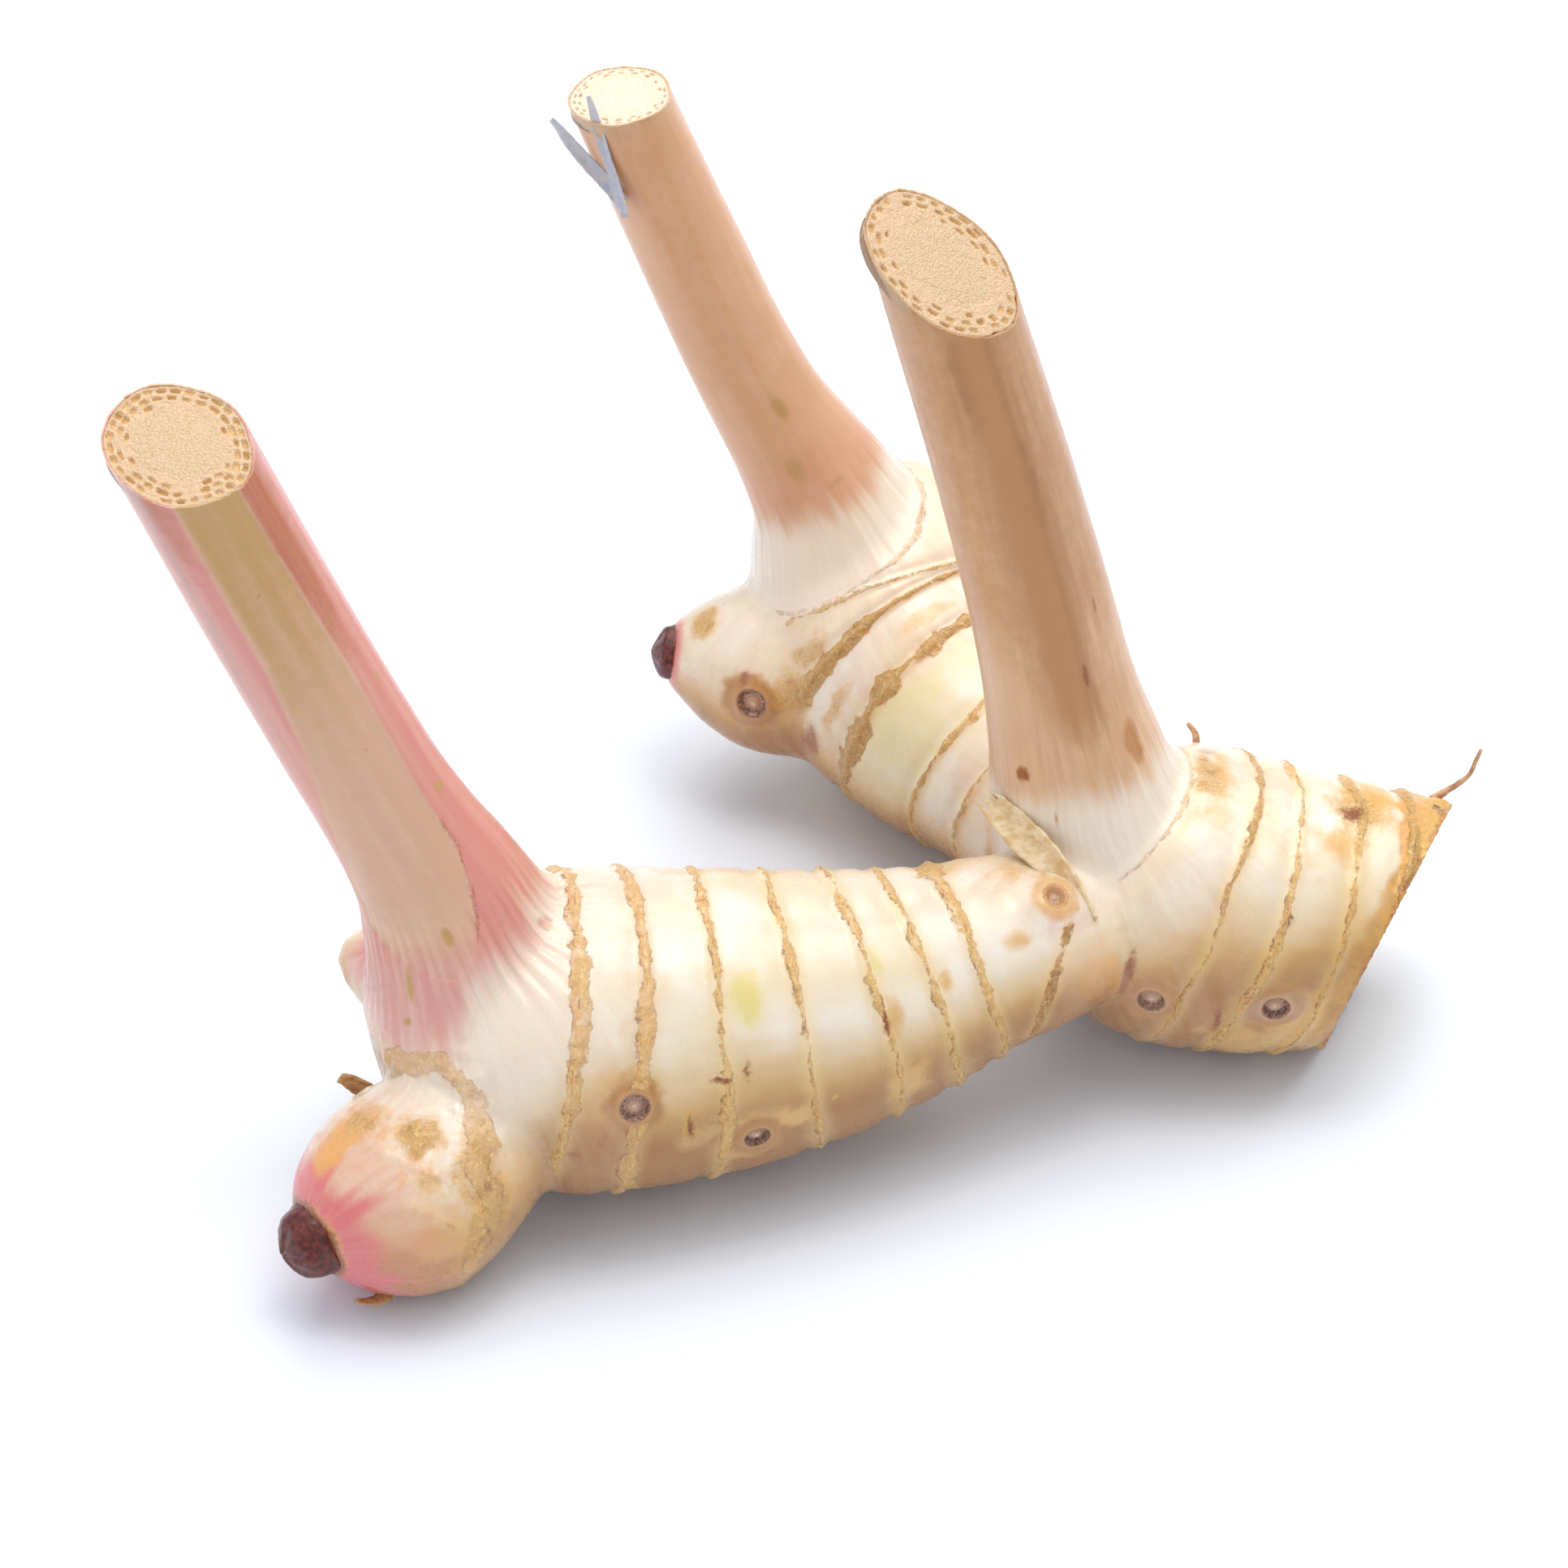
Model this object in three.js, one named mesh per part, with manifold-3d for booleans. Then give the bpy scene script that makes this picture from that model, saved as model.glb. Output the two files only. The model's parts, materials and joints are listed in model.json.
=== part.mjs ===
// Galangal root: a branched rhizome of three limbs, each turning up into a cut
// leafy shoot, resting on three low points. Millimetres, +Z up, front toward -Y.
import * as THREE from "three";
import Module from "manifold-3d";

const wasm = await Module();
wasm.setup();

// Dimensions.
// Growth is laid out from the middle of the table spot under the root; the
// shift brings the middle of the bounding box onto the Z axis.
const SHIFT = [-5.2, 34.36, 0];
const SEGMENTS = 28; // round a limb
const STEM_SEGMENTS = 22;
const GAP = 0.3; // clear space between neighbouring pieces
const RIDGE_HEIGHT = 0.4; // a leaf scar stands this proud
const RIDGE_HALF = 0.75; // and is this wide to each side
const BELLY = 0.22; // swell between two leaf scars
const WAVER = 0.75; // how far a leaf scar wanders along its limb
const LUMPS = 0.018; // share by which a section is out of round

// Spines: x, y, z and radius.
const FRONT_LIMB = [
  [35.4, -46.7, 20.7, 9.0],
  [28.7, -52.6, 21.5, 9.8],
  [22.2, -54.6, 20.6, 11.0],
  [14.0, -57.3, 19.2, 13.1],
  [3.1, -60.2, 18.4, 15.4],
  [-6.0, -62.1, 18.3, 16.8],
  [-15.0, -63.7, 18.5, 17.6],
  [-24.0, -65.0, 19.0, 17.9],
  [-30.0, -65.8, 19.5, 17.0],
  [-35.0, -66.4, 20.0, 15.0],
  [-39.4, -66.9, 20.5, 12.0],
  [-42.6, -67.2, 20.8, 8.2],
  [-44.4, -67.4, 21.0, 4.2],
];
const MIDDLE_LIMB = [
  [86.0, -44.0, 13.0, 13.0],
  [78.0, -43.4, 14.2, 13.6],
  [69.8, -42.5, 15.4, 14.4],
  [62.7, -42.2, 16.2, 15.6],
  [55.2, -42.0, 16.75, 16.95],
  [47.8, -41.3, 17.9, 17.5],
  [42.0, -40.9, 18.9, 17.1],
  [37.2, -40.5, 19.7, 15.4],
  [33.2, -40.2, 20.3, 12.6],
  [30.4, -40.0, 20.7, 9.0],
  [28.8, -39.9, 21.0, 5.0],
];
const REAR_LIMB = [
  [40.5, -37.0, 16.0, 12.0],
  [33.4, -26.5, 15.8, 11.6],
  [26.6, -14.6, 16.0, 13.8],
  [19.3, -3.6, 16.15, 16.35],
  [14.0, 4.6, 18.9, 17.5],
  [10.9, 11.3, 23.7, 16.8],
  [8.4, 15.0, 25.9, 14.9],
  [6.6, 17.6, 27.3, 11.5],
  [5.4, 19.2, 28.1, 7.6],
  [4.8, 20.1, 28.6, 4.0],
];
const FRONT_BUD = [
  [-28.6, -73.4, 15.6, 6.6],
  [-34.4, -78.1, 13.5, 10.0],
  [-40.6, -82.0, 11.3, 11.75],
  [-46.2, -85.0, 10.3, 10.2],
  [-49.3, -87.0, 9.9, 7.4],
  [-50.8, -88.1, 9.7, 4.8],
];
const REAR_BUD = [
  [5.0, 3.0, 17.4, 12.5],
  [-0.6, 2.4, 16.6, 11.0],
  [-6.0, 2.8, 17.2, 9.3],
  [-10.4, 3.0, 17.8, 6.8],
  [-13.6, 3.0, 18.2, 3.8],
];
const HIDDEN_BUD = [
  [-38.0, -58.0, 20.0, 7.0],
  [-43.5, -56.0, 20.4, 6.4],
  [-47.3, -54.9, 20.9, 4.2],
  [-49.4, -54.4, 21.6, 1.8],
];
const FRONT_TIP = [
  [-48.9, -87.0, 9.85, 4.3],
  [-50.6, -88.1, 9.65, 4.3],
  [-52.0, -89.0, 9.5, 4.0],
  [-53.3, -89.8, 9.3, 3.1],
  [-54.0, -90.2, 9.2, 1.7],
];
const REAR_TIP = [
  [-12.3, 3.0, 18.1, 3.3],
  [-13.8, 3.0, 18.3, 3.3],
  [-14.9, 3.0, 18.4, 2.9],
  [-15.6, 3.0, 18.5, 1.7],
];
const FRONT_STEM = [
  [-30.6, -65.6, 16.5, 8.4],
  [-31.8, -65.2, 20.5, 12.2],
  [-33.1, -64.7, 24.8, 13.4],
  [-34.5, -64.0, 30.0, 11.9],
  [-36.0, -63.5, 34.8, 10.5],
  [-37.9, -63.0, 40.3, 9.1],
  [-40.2, -62.7, 45.3, 8.15],
  [-42.8, -62.5, 50.8, 7.65],
  [-46.8, -62.1, 59.8, 7.5],
  [-54.3, -61.6, 77.9, 7.35],
  [-61.6, -61.4, 96.5, 7.17],
  [-66.3, -61.6, 108.0, 7.0],
];
const MIDDLE_STEM = [
  [38.6, -41.2, 18.2, 8.6],
  [37.5, -40.9, 22.0, 11.8],
  [36.3, -40.4, 25.4, 12.6],
  [35.2, -40.0, 28.8, 12.0],
  [33.7, -39.5, 33.2, 10.9],
  [32.5, -38.7, 38.6, 9.76],
  [31.3, -38.1, 43.4, 8.99],
  [30.1, -37.5, 48.7, 8.4],
  [28.7, -36.8, 55.0, 8.08],
  [24.6, -35.1, 71.1, 7.59],
  [16.5, -33.0, 99.6, 7.0],
  [12.0, -31.8, 116.0, 6.8],
];
const REAR_STEM = [
  [11.8, 7.6, 16.0, 13.0],
  [10.8, 8.0, 20.5, 13.6],
  [9.4, 8.4, 25.4, 13.5],
  [7.2, 8.9, 31.0, 11.9],
  [4.8, 9.7, 37.7, 9.3],
  [1.6, 10.2, 43.9, 7.8],
  [-1.9, 10.6, 50.2, 6.85],
  [-4.6, 11.0, 55.8, 6.55],
  [-11.1, 12.3, 71.5, 6.21],
  [-18.7, 13.6, 90.8, 5.8],
  [-21.4, 14.0, 98.0, 5.7],
];

// Thin pieces: points, then half-widths.
const BRACT = {
  points: [
    [22.4, -43.9, 35.2], [24.9, -46.9, 34.4], [27.3, -49.6, 33.5],
    [29.8, -52.2, 32.3], [32.1, -54.6, 30.5], [34.3, -57.0, 27.9],
  ],
  halves: [1.6, 2.3, 2.8, 2.7, 2.0, 0.7],
  facing: [-0.35, -0.75, 0.56],
  thickness: 0.9,
};
const SHRED_FREE = {
  points: [
    [-18.3, 7.4, 80.3], [-20.0, 9.0, 81.8], [-21.9, 10.4, 83.3],
    [-24.1, 11.9, 85.3], [-26.5, 13.6, 87.7],
  ],
  halves: [0.9, 1.0, 1.0, 0.9, 0.7],
  facing: [-0.3, -0.85, 0.43],
  thickness: 0.7,
};
const SHRED_LYING = {
  points: [
    [-18.0, 6.0, 79.4], [-18.9, 7.2, 82.2], [-19.8, 7.9, 85.3],
    [-20.7, 8.6, 88.6], [-21.6, 9.4, 91.8], [-22.0, 10.0, 93.2],
  ],
  halves: [0.9, 0.9, 0.7, 0.8, 0.7, 0.6],
  facing: [-0.55, -0.8, 0.2],
  thickness: 1.0,
};
const FLAKE_UPPER = {
  points: [[-44.6, -72.6, 15.6], [-46.9, -72.4, 18.0], [-48.6, -72.6, 19.2]],
  halves: [1.6, 1.5, 0.9],
  facing: [-0.6, -0.6, 0.5],
  thickness: 0.8,
};
const FLAKE_LOWER = {
  points: [[-42.6, -87.4, 2.6], [-45.0, -90.0, 2.2], [-46.6, -90.6, 2.6]],
  halves: [1.5, 1.3, 0.8],
  facing: [0.1, -0.5, -0.85],
  thickness: 0.8,
};
const END_ROOTLET = [
  [72.6, -33.6, 23.6, 0.7],
  [75.2, -32.9, 25.8, 0.6],
  [77.4, -32.4, 27.2, 0.5],
  [78.6, -32.2, 28.4, 0.45],
  [79.3, -31.6, 30.0, 0.42],
  [79.8, -31.2, 31.3, 0.4],
];
const TOP_ROOTLET = [
  [47.5, -32.2, 29.0, 0.8],
  [47.3, -30.6, 31.2, 0.6],
  [47.1, -29.7, 32.5, 0.5],
  [46.3, -29.2, 33.5, 0.42],
];

// Sideways directions that keep each spine's sections from twisting.
const FRONT_SIDE = [0.05, 1, 0];
const MIDDLE_SIDE = [0.03, 1, 0];
const REAR_SIDE = [0.83, 0.55, 0];

// Leaf scars: distance along the spine, height factor, and how far the scar
// leans along the spine on the upper and on the far side.
const FRONT_SCARS = [
  { s: 18.0, height: 1.0, up: 0.6, side: 0 },
  { s: 23.6, height: 0.9, up: 1.8, side: 0 },
  { s: 30.2, height: 1.1, up: 1.8, side: 0 },
  { s: 38.9, height: 0.8, up: 0.6, side: 0 },
  { s: 48.4, height: 0.9, up: -0.4, side: 0 },
  { s: 57.9, height: 1.0, up: -1.4, side: 0 },
  { s: 66.1, height: 1.1, up: -2.4, side: 0 },
];
const MIDDLE_SCARS = [
  { s: 20.2, height: 1.1, up: -3.2, side: 0 },
  { s: 26.2, height: 1.0, up: -3.2, side: 0 },
  { s: 33.4, height: 1.0, up: -3.6, side: 0 },
  { s: 40.3, height: 0.8, up: -4.2, side: 0 },
];
const REAR_SCARS = [
  { s: 19.0, height: 0.9, up: -2.0, side: 1.2 },
  { s: 28.0, height: 0.9, up: -3.0, side: 2.0 },
  { s: 39.4, height: 1.0, up: -3.8, side: 2.4 },
  { s: 48.0, height: 1.2, up: -2.4, side: 1.4 },
  { s: 54.6, height: 0.9, up: -1.6, side: 1.0 },
];

// Knife cuts: a point on the plane and the outward direction.
const FRONT_CUT = { at: [-61.3, -61.4, 96.4], out: [0.032, -0.353, 0.935] };
const MIDDLE_CUT = { at: [16.7, -33.0, 99.4], out: [0.332, -0.403, 0.853] };
const REAR_CUT = { at: [-18.7, 13.6, 90.8], out: [-0.111, -0.052, 0.992] };
const END_CUT = { at: [69.8, -42.5, 15.5], out: [0.878, -0.389, -0.278] };
const TABLE = { at: [0, 0, 0], out: [0, 0, -1] };

// Air chambers in a cut stem: rings by radius share, number and width share.
const CHAMBER_DEPTH = 1.2;
const FRONT_CHAMBERS = [
  { inner: 0.79, outer: 0.93, count: 24, fill: 0.66 },
  { inner: 0.6, outer: 0.73, count: 18, fill: 0.62 },
];
const MIDDLE_CHAMBERS = [
  { inner: 0.8, outer: 0.93, count: 22, fill: 0.62 },
  { inner: 0.62, outer: 0.73, count: 17, fill: 0.56 },
];
const REAR_CHAMBERS = [{ inner: 0.77, outer: 0.9, count: 18, fill: 0.5 }];

// Root scars: distance along a spine, angle from its upper side, radius.
const FRONT_ROOTS = [
  { s: 58.2, angle: -76, radius: 2.1 },
  { s: 45.3, angle: -99, radius: 1.7 },
];
const MIDDLE_ROOTS = [
  { s: 43.8, angle: -96, radius: 1.9 },
  { s: 30.4, angle: -90, radius: 2.0 },
];
const REAR_ROOTS = [{ s: 8.2, angle: 12, radius: 2.0 }];
const EYE = { s: 9.2, angle: -25, radius: 3.0 };

const MATERIALS = {
  skin: { color: 0xf1e6c8, roughness: 0.42 },
  shoot: { color: 0xe6b79a, roughness: 0.4 },
  dry: { color: 0x5a2c26, roughness: 0.6 },
  husk: { color: 0xc9b078, roughness: 0.65 },
};

// Spines.
const vec = (a) => new THREE.Vector3(a[0], a[1], a[2]);

/** A smooth spine through rows of x, y, z, radius, measured by chord length. */
class Spine {
  constructor(rows, side) {
    this.rows = rows;
    this.side = vec(side).normalize();
    this.knots = [0];
    for (let i = 1; i < rows.length; i++) {
      this.knots.push(
        this.knots[i - 1] + vec(rows[i]).distanceTo(vec(rows[i - 1])),
      );
    }
    this.length = this.knots[rows.length - 1];
    this.slopes = rows.map((row, i) => row.map((_, c) => this.slope(i, c)));
  }

  slope(i, c) {
    const { rows, knots } = this;
    const last = rows.length - 1;
    const step = (k) => (rows[k + 1][c] - rows[k][c]) / (knots[k + 1] - knots[k]);
    if (i === 0) return step(0);
    if (i === last) return step(last - 1);
    const before = knots[i] - knots[i - 1];
    const after = knots[i + 1] - knots[i];
    return (step(i) * before + step(i - 1) * after) / (before + after);
  }

  at(s) {
    const { rows, knots, slopes } = this;
    const t = Math.min(Math.max(s, 0), this.length);
    let i = 0;
    while (i < rows.length - 2 && knots[i + 1] < t) i++;
    const span = knots[i + 1] - knots[i];
    const u = (t - knots[i]) / span;
    const value = [0, 1, 2, 3].map(
      (c) =>
        (2 * u ** 3 - 3 * u ** 2 + 1) * rows[i][c] +
        (u ** 3 - 2 * u ** 2 + u) * span * slopes[i][c] +
        (3 * u ** 2 - 2 * u ** 3) * rows[i + 1][c] +
        (u ** 3 - u ** 2) * span * slopes[i + 1][c],
    );
    const rate = [0, 1, 2].map(
      (c) =>
        ((6 * u ** 2 - 6 * u) * (rows[i][c] - rows[i + 1][c])) / span +
        (3 * u ** 2 - 4 * u + 1) * slopes[i][c] +
        (3 * u ** 2 - 2 * u) * slopes[i + 1][c],
    );
    const along = vec(rate).normalize();
    const side = this.side
      .clone()
      .addScaledVector(along, -this.side.dot(along))
      .normalize();
    const up = new THREE.Vector3().crossVectors(side, along);
    return { point: vec(value), along, side, up, radius: value[3] };
  }
}

/** Signed wander of a section line along the spine, in mm. */
function waver(s, angle, size) {
  const k = s / 10;
  return (
    size *
    (0.5 * Math.sin(angle + 1.9 * k) +
      0.32 * Math.sin(2 * angle - 2.3 * k) +
      0.18 * Math.sin(3 * angle + 3.1 * k))
  );
}

/** A closed tube of rows; row(i) gives the point at angle index j. */
function closedTube(rowCount, segments, pointAt, startPole, endPole) {
  const positions = [];
  for (let i = 0; i < rowCount; i++) {
    for (let j = 0; j < segments; j++) {
      const p = pointAt(i, (2 * Math.PI * j) / segments);
      positions.push(p.x, p.y, p.z);
    }
  }
  positions.push(...startPole.toArray(), ...endPole.toArray());
  const first = rowCount * segments;
  const index = [];
  for (let j = 0; j < segments; j++) {
    const k = (j + 1) % segments;
    for (let i = 0; i < rowCount - 1; i++) {
      const a = i * segments + j;
      const b = i * segments + k;
      const c = a + segments;
      const d = b + segments;
      index.push(a, b, d, a, d, c);
    }
    index.push(first, k, j);
    const end = (rowCount - 1) * segments;
    index.push(first + 1, end + j, end + k);
  }
  const geometry = new THREE.BufferGeometry();
  geometry.setAttribute(
    "position",
    new THREE.Float32BufferAttribute(positions, 3),
  );
  geometry.setIndex(index);
  return geometry;
}

/** A geometry as a solid, turned right side out. */
function solidOf(geometry) {
  const position = geometry.getAttribute("position");
  const make = (flip) => {
    const triVerts = new Uint32Array(geometry.index.array);
    if (flip) {
      for (let i = 0; i < triVerts.length; i += 3) {
        [triVerts[i + 1], triVerts[i + 2]] = [triVerts[i + 2], triVerts[i + 1]];
      }
    }
    return new wasm.Manifold(
      new wasm.Mesh({
        numProp: 3,
        vertProperties: new Float32Array(position.array),
        triVerts,
      }),
    );
  };
  const solid = make(false);
  return solid.volume() < 0 ? make(true) : solid;
}

/** Rows along a limb: three to a leaf scar, some between, the dome at the end. */
function limbRows(spine, scars) {
  const dome = spine.knots.slice(-5);
  const rows = [];
  const fill = (from, to) => {
    const count = Math.max(1, Math.round((to.s - from.s) / 3.4));
    for (let i = 1; i < count; i++) {
      const k = i / count;
      rows.push({
        s: from.s + (to.s - from.s) * k,
        lift: BELLY,
        up: from.up + (to.up - from.up) * k,
        side: from.side + (to.side - from.side) * k,
      });
    }
  };
  let last = { s: 0, lift: 0, up: scars[0].up, side: scars[0].side };
  rows.push(last);
  for (const scar of scars) {
    const { s, height, up, side } = scar;
    const before = { s: s - RIDGE_HALF, lift: -0.1 * height, up, side };
    const after = { s: s + RIDGE_HALF, lift: 0, up, side };
    fill(last, before);
    rows.push(before, { s, lift: RIDGE_HEIGHT * height, up, side }, after);
    last = after;
  }
  const ending = dome.filter((s) => s > last.s + 1.5);
  ending.forEach((s, i) => {
    const fade = 1 - (i + 1) / ending.length;
    const row = { s, lift: 0, up: last.up * fade, side: last.side * fade };
    if (i === 0) fill(last, row);
    rows.push(row);
  });
  return rows;
}

/** Radius factor that keeps a section from being a plain circle. */
function lump(s, angle, size) {
  return (
    1 +
    size *
      (0.55 * Math.sin(2 * angle + 0.08 * s + 0.6) +
        0.45 * Math.sin(3 * angle - 0.11 * s + 1.4))
  );
}

/** A limb on its spine, grown outward by an offset. */
function limb(spine, scars, offset) {
  const rows = limbRows(spine, scars);
  const last = rows.length - 1;
  const pointAt = (i, angle) => {
    const row = rows[i];
    const wander = i === 0 || i > last - 3 ? 0 : waver(row.s, angle, WAVER);
    const lean = row.up * Math.cos(angle) + row.side * Math.sin(angle);
    const f = spine.at(row.s + wander + lean);
    const r = f.radius * lump(row.s, angle, LUMPS) + row.lift + offset;
    return f.point
      .addScaledVector(f.up, r * Math.cos(angle))
      .addScaledVector(f.side, r * Math.sin(angle));
  };
  const start = spine.at(0);
  const end = spine.at(spine.length);
  return solidOf(
    closedTube(
      rows.length,
      SEGMENTS,
      pointAt,
      start.point.addScaledVector(start.along, -0.35 * start.radius - offset),
      end.point.addScaledVector(end.along, 0.2 * end.radius + offset),
    ),
  );
}

/** A plain tapered tube: a bud, a stem or a rootlet. */
function tube(spine, options) {
  const { rows, segments, offset = 0, cap = 0.4, lift = () => 0 } = options;
  const pointAt = (i, angle) => {
    const f = spine.at(rows[i]);
    const r = Math.max(0.05, f.radius + lift(rows[i], angle) + offset);
    return f.point
      .addScaledVector(f.up, r * Math.cos(angle))
      .addScaledVector(f.side, r * Math.sin(angle));
  };
  const last = rows.length - 1;
  const start = spine.at(rows[0]);
  const end = spine.at(rows[last]);
  return solidOf(
    closedTube(
      rows.length,
      segments,
      pointAt,
      start.point.addScaledVector(start.along, -cap * start.radius - offset),
      end.point.addScaledVector(end.along, cap * end.radius + offset),
    ),
  );
}

const evenRows = (from, to, count) =>
  Array.from({ length: count }, (_, i) => from + ((to - from) * i) / (count - 1));

/** A block whose near face is the plane of a cut, to take away what is beyond. */
function beyond(cut, reach = 60) {
  const geometry = new THREE.BoxGeometry(reach * 2, reach * 2, reach);
  geometry.translate(0, 0, reach / 2);
  const turn = new THREE.Quaternion().setFromUnitVectors(
    new THREE.Vector3(0, 0, 1),
    vec(cut.out).normalize(),
  );
  geometry.applyQuaternion(turn);
  geometry.translate(...cut.at);
  return solidOf(mergedBox(geometry));
}

/** A box geometry with one vertex to a corner. */
function mergedBox(geometry) {
  const position = geometry.getAttribute("position");
  const keys = new Map();
  const points = [];
  const remap = [];
  for (let i = 0; i < position.count; i++) {
    const p = [position.getX(i), position.getY(i), position.getZ(i)];
    const key = p.map((v) => v.toFixed(3)).join(" ");
    if (!keys.has(key)) {
      keys.set(key, points.length / 3);
      points.push(...p);
    }
    remap.push(keys.get(key));
  }
  const merged = new THREE.BufferGeometry();
  merged.setAttribute("position", new THREE.Float32BufferAttribute(points, 3));
  merged.setIndex(Array.from(geometry.index.array, (i) => remap[i]));
  return merged;
}

/** A shape turned on an axis, closed by a pole at each end, placed by a frame. */
function turned(profile, segments, at, out) {
  const along = vec(out).normalize();
  const reference =
    Math.abs(along.z) < 0.9 ? new THREE.Vector3(0, 0, 1) : new THREE.Vector3(1, 0, 0);
  const side = new THREE.Vector3().crossVectors(reference, along).normalize();
  const up = new THREE.Vector3().crossVectors(along, side);
  const base = vec(at);
  const onAxis = (h) => base.clone().addScaledVector(along, h);
  const pointAt = (i, angle) =>
    onAxis(profile[i][1])
      .addScaledVector(side, profile[i][0] * Math.cos(angle))
      .addScaledVector(up, profile[i][0] * Math.sin(angle));
  const last = profile.length - 1;
  return solidOf(
    closedTube(
      profile.length,
      segments,
      pointAt,
      onAxis(profile[0][2] ?? profile[0][1]),
      onAxis(profile[last][2] ?? profile[last][1]),
    ),
  );
}

// Pieces.
const frontSpine = new Spine(FRONT_LIMB, FRONT_SIDE);
const middleSpine = new Spine(MIDDLE_LIMB, MIDDLE_SIDE);
const rearSpine = new Spine(REAR_LIMB, REAR_SIDE);
const frontBudSpine = new Spine(FRONT_BUD, [0, 0, 1]);
const rearBudSpine = new Spine(REAR_BUD, [0, 0, 1]);
const hiddenBudSpine = new Spine(HIDDEN_BUD, [0, 0, 1]);
const frontStemSpine = new Spine(FRONT_STEM, [0, 1, 0]);
const middleStemSpine = new Spine(MIDDLE_STEM, [0, 1, 0]);
const rearStemSpine = new Spine(REAR_STEM, [0, 1, 0]);

/** Edges of the scale leaves that wrap a bud, as low steps. */
const scaleSteps = (edges) => (s, angle) => {
  let lift = 0;
  for (const edge of edges) {
    const away = s - edge.s - edge.slant * Math.cos(angle - edge.turn);
    if (away < 0) lift += 0.35 * Math.exp(away / 2.5);
  }
  return lift;
};
const FRONT_BUD_EDGES = [
  { s: 9.0, slant: 1.2, turn: 0.4 },
  { s: 16.5, slant: 2.0, turn: 2.6 },
];
const REAR_BUD_EDGES = [{ s: 9.5, slant: 1.4, turn: 1.0 }];

/** The rhizome with everything grown from it, swollen by an offset. */
function rhizomeBody(offset) {
  const parts = [
    limb(frontSpine, FRONT_SCARS, offset),
    limb(middleSpine, MIDDLE_SCARS, offset),
    limb(rearSpine, REAR_SCARS, offset),
    tube(frontBudSpine, {
      rows: [0, 5, 8.2, 9.4, 12.5, 15.8, 17.2, 20, 22.8, 25.6, frontBudSpine.length],
      segments: 22,
      offset,
      cap: 0.55,
      lift: scaleSteps(FRONT_BUD_EDGES),
    }),
    tube(rearBudSpine, {
      rows: [0, 4.5, 8.2, 10.2, 13.2, 16.2, rearBudSpine.length],
      segments: 18,
      offset,
      cap: 0.55,
      lift: scaleSteps(REAR_BUD_EDGES),
    }),
    tube(hiddenBudSpine, {
      rows: evenRows(0, hiddenBudSpine.length, 6),
      segments: 14,
      offset,
      cap: 0.4,
    }),
  ];
  return wasm.Manifold.union(parts);
}

/** The place and direction on a spine's surface at an angle from its top. */
function onSurface(spine, mark) {
  const f = spine.at(mark.s);
  const angle = (mark.angle * Math.PI) / 180;
  const out = f.up
    .clone()
    .multiplyScalar(Math.cos(angle))
    .addScaledVector(f.side, Math.sin(angle));
  const at = f.point.clone().addScaledVector(out, f.radius + 0.1);
  return { at: at.toArray(), out: out.toArray() };
}

/** A raised eye with a sunken middle. */
function eye(spine, mark, offset) {
  const r = mark.radius;
  const { at, out } = onSurface(spine, mark);
  const profile = [
    [r * 1.25 + offset, -3.5],
    [r * 1.15 + offset, -0.2],
    [r * 0.72 + offset, 1.1 + offset],
    [r * 0.44, 0.9 + offset],
    [r * 0.22, 0.1 + offset, -0.2 + offset],
  ];
  return turned(profile, 14, at, out);
}

/** The low collar that a lost root left. */
function rootCollar(spine, mark, offset) {
  const r = mark.radius;
  const { at, out } = onSurface(spine, mark);
  const profile = [
    [r * 1.5, -2.5],
    [r * 1.4, 0],
    [r * 1.05, 0.45 + offset],
    [r * 0.8, 0.4 + offset],
  ];
  return turned(profile, 12, at, out);
}

/** The pit in the collar, with the root's middle strand left standing. */
function rootPit(spine, mark) {
  const r = mark.radius;
  const { at, out } = onSurface(spine, mark);
  const profile = [
    [r * 0.8, 3],
    [r * 0.72, -0.25],
    [r * 0.36, -0.3],
    [r * 0.24, 0.1, 0.15],
  ];
  return turned(profile, 12, at, out);
}

/** A thin blade through points, of lens section, with an offset all round. */
function blade(piece, offset = 0) {
  const { points, halves, facing, thickness } = piece;
  const last = points.length - 1;
  const face = vec(facing).normalize();
  const along = (i) =>
    vec(points[Math.min(i + 1, last)]).sub(vec(points[Math.max(i - 1, 0)])).normalize();
  const across = (i) => new THREE.Vector3().crossVectors(face, along(i)).normalize();
  const pointAt = (i, angle) => {
    const wide = across(i);
    const out = new THREE.Vector3().crossVectors(along(i), wide).normalize();
    return vec(points[i])
      .addScaledVector(wide, (halves[i] + offset) * Math.cos(angle))
      .addScaledVector(out, (thickness / 2 + offset) * Math.sin(angle));
  };
  return solidOf(
    closedTube(
      points.length,
      8,
      pointAt,
      vec(points[0]).addScaledVector(along(0), -0.3),
      vec(points[last]).addScaledVector(along(last), 0.3),
    ),
  );
}

/** A rootlet: few sides, sunk well in at its start. */
function rootlet(rows, offset) {
  const spine = new Spine(rows, [0.3, 1, 0.2]);
  return tube(spine, {
    rows: evenRows(0, spine.length, 7),
    segments: 6,
    offset,
    cap: 0.5,
  });
}

const frontRoots = FRONT_ROOTS.map((mark) => [frontSpine, mark]);
const middleRoots = MIDDLE_ROOTS.map((mark) => [middleSpine, mark]);
const rearRoots = REAR_ROOTS.map((mark) => [rearBudSpine, mark]);
const allRoots = [...frontRoots, ...middleRoots, ...rearRoots];

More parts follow.
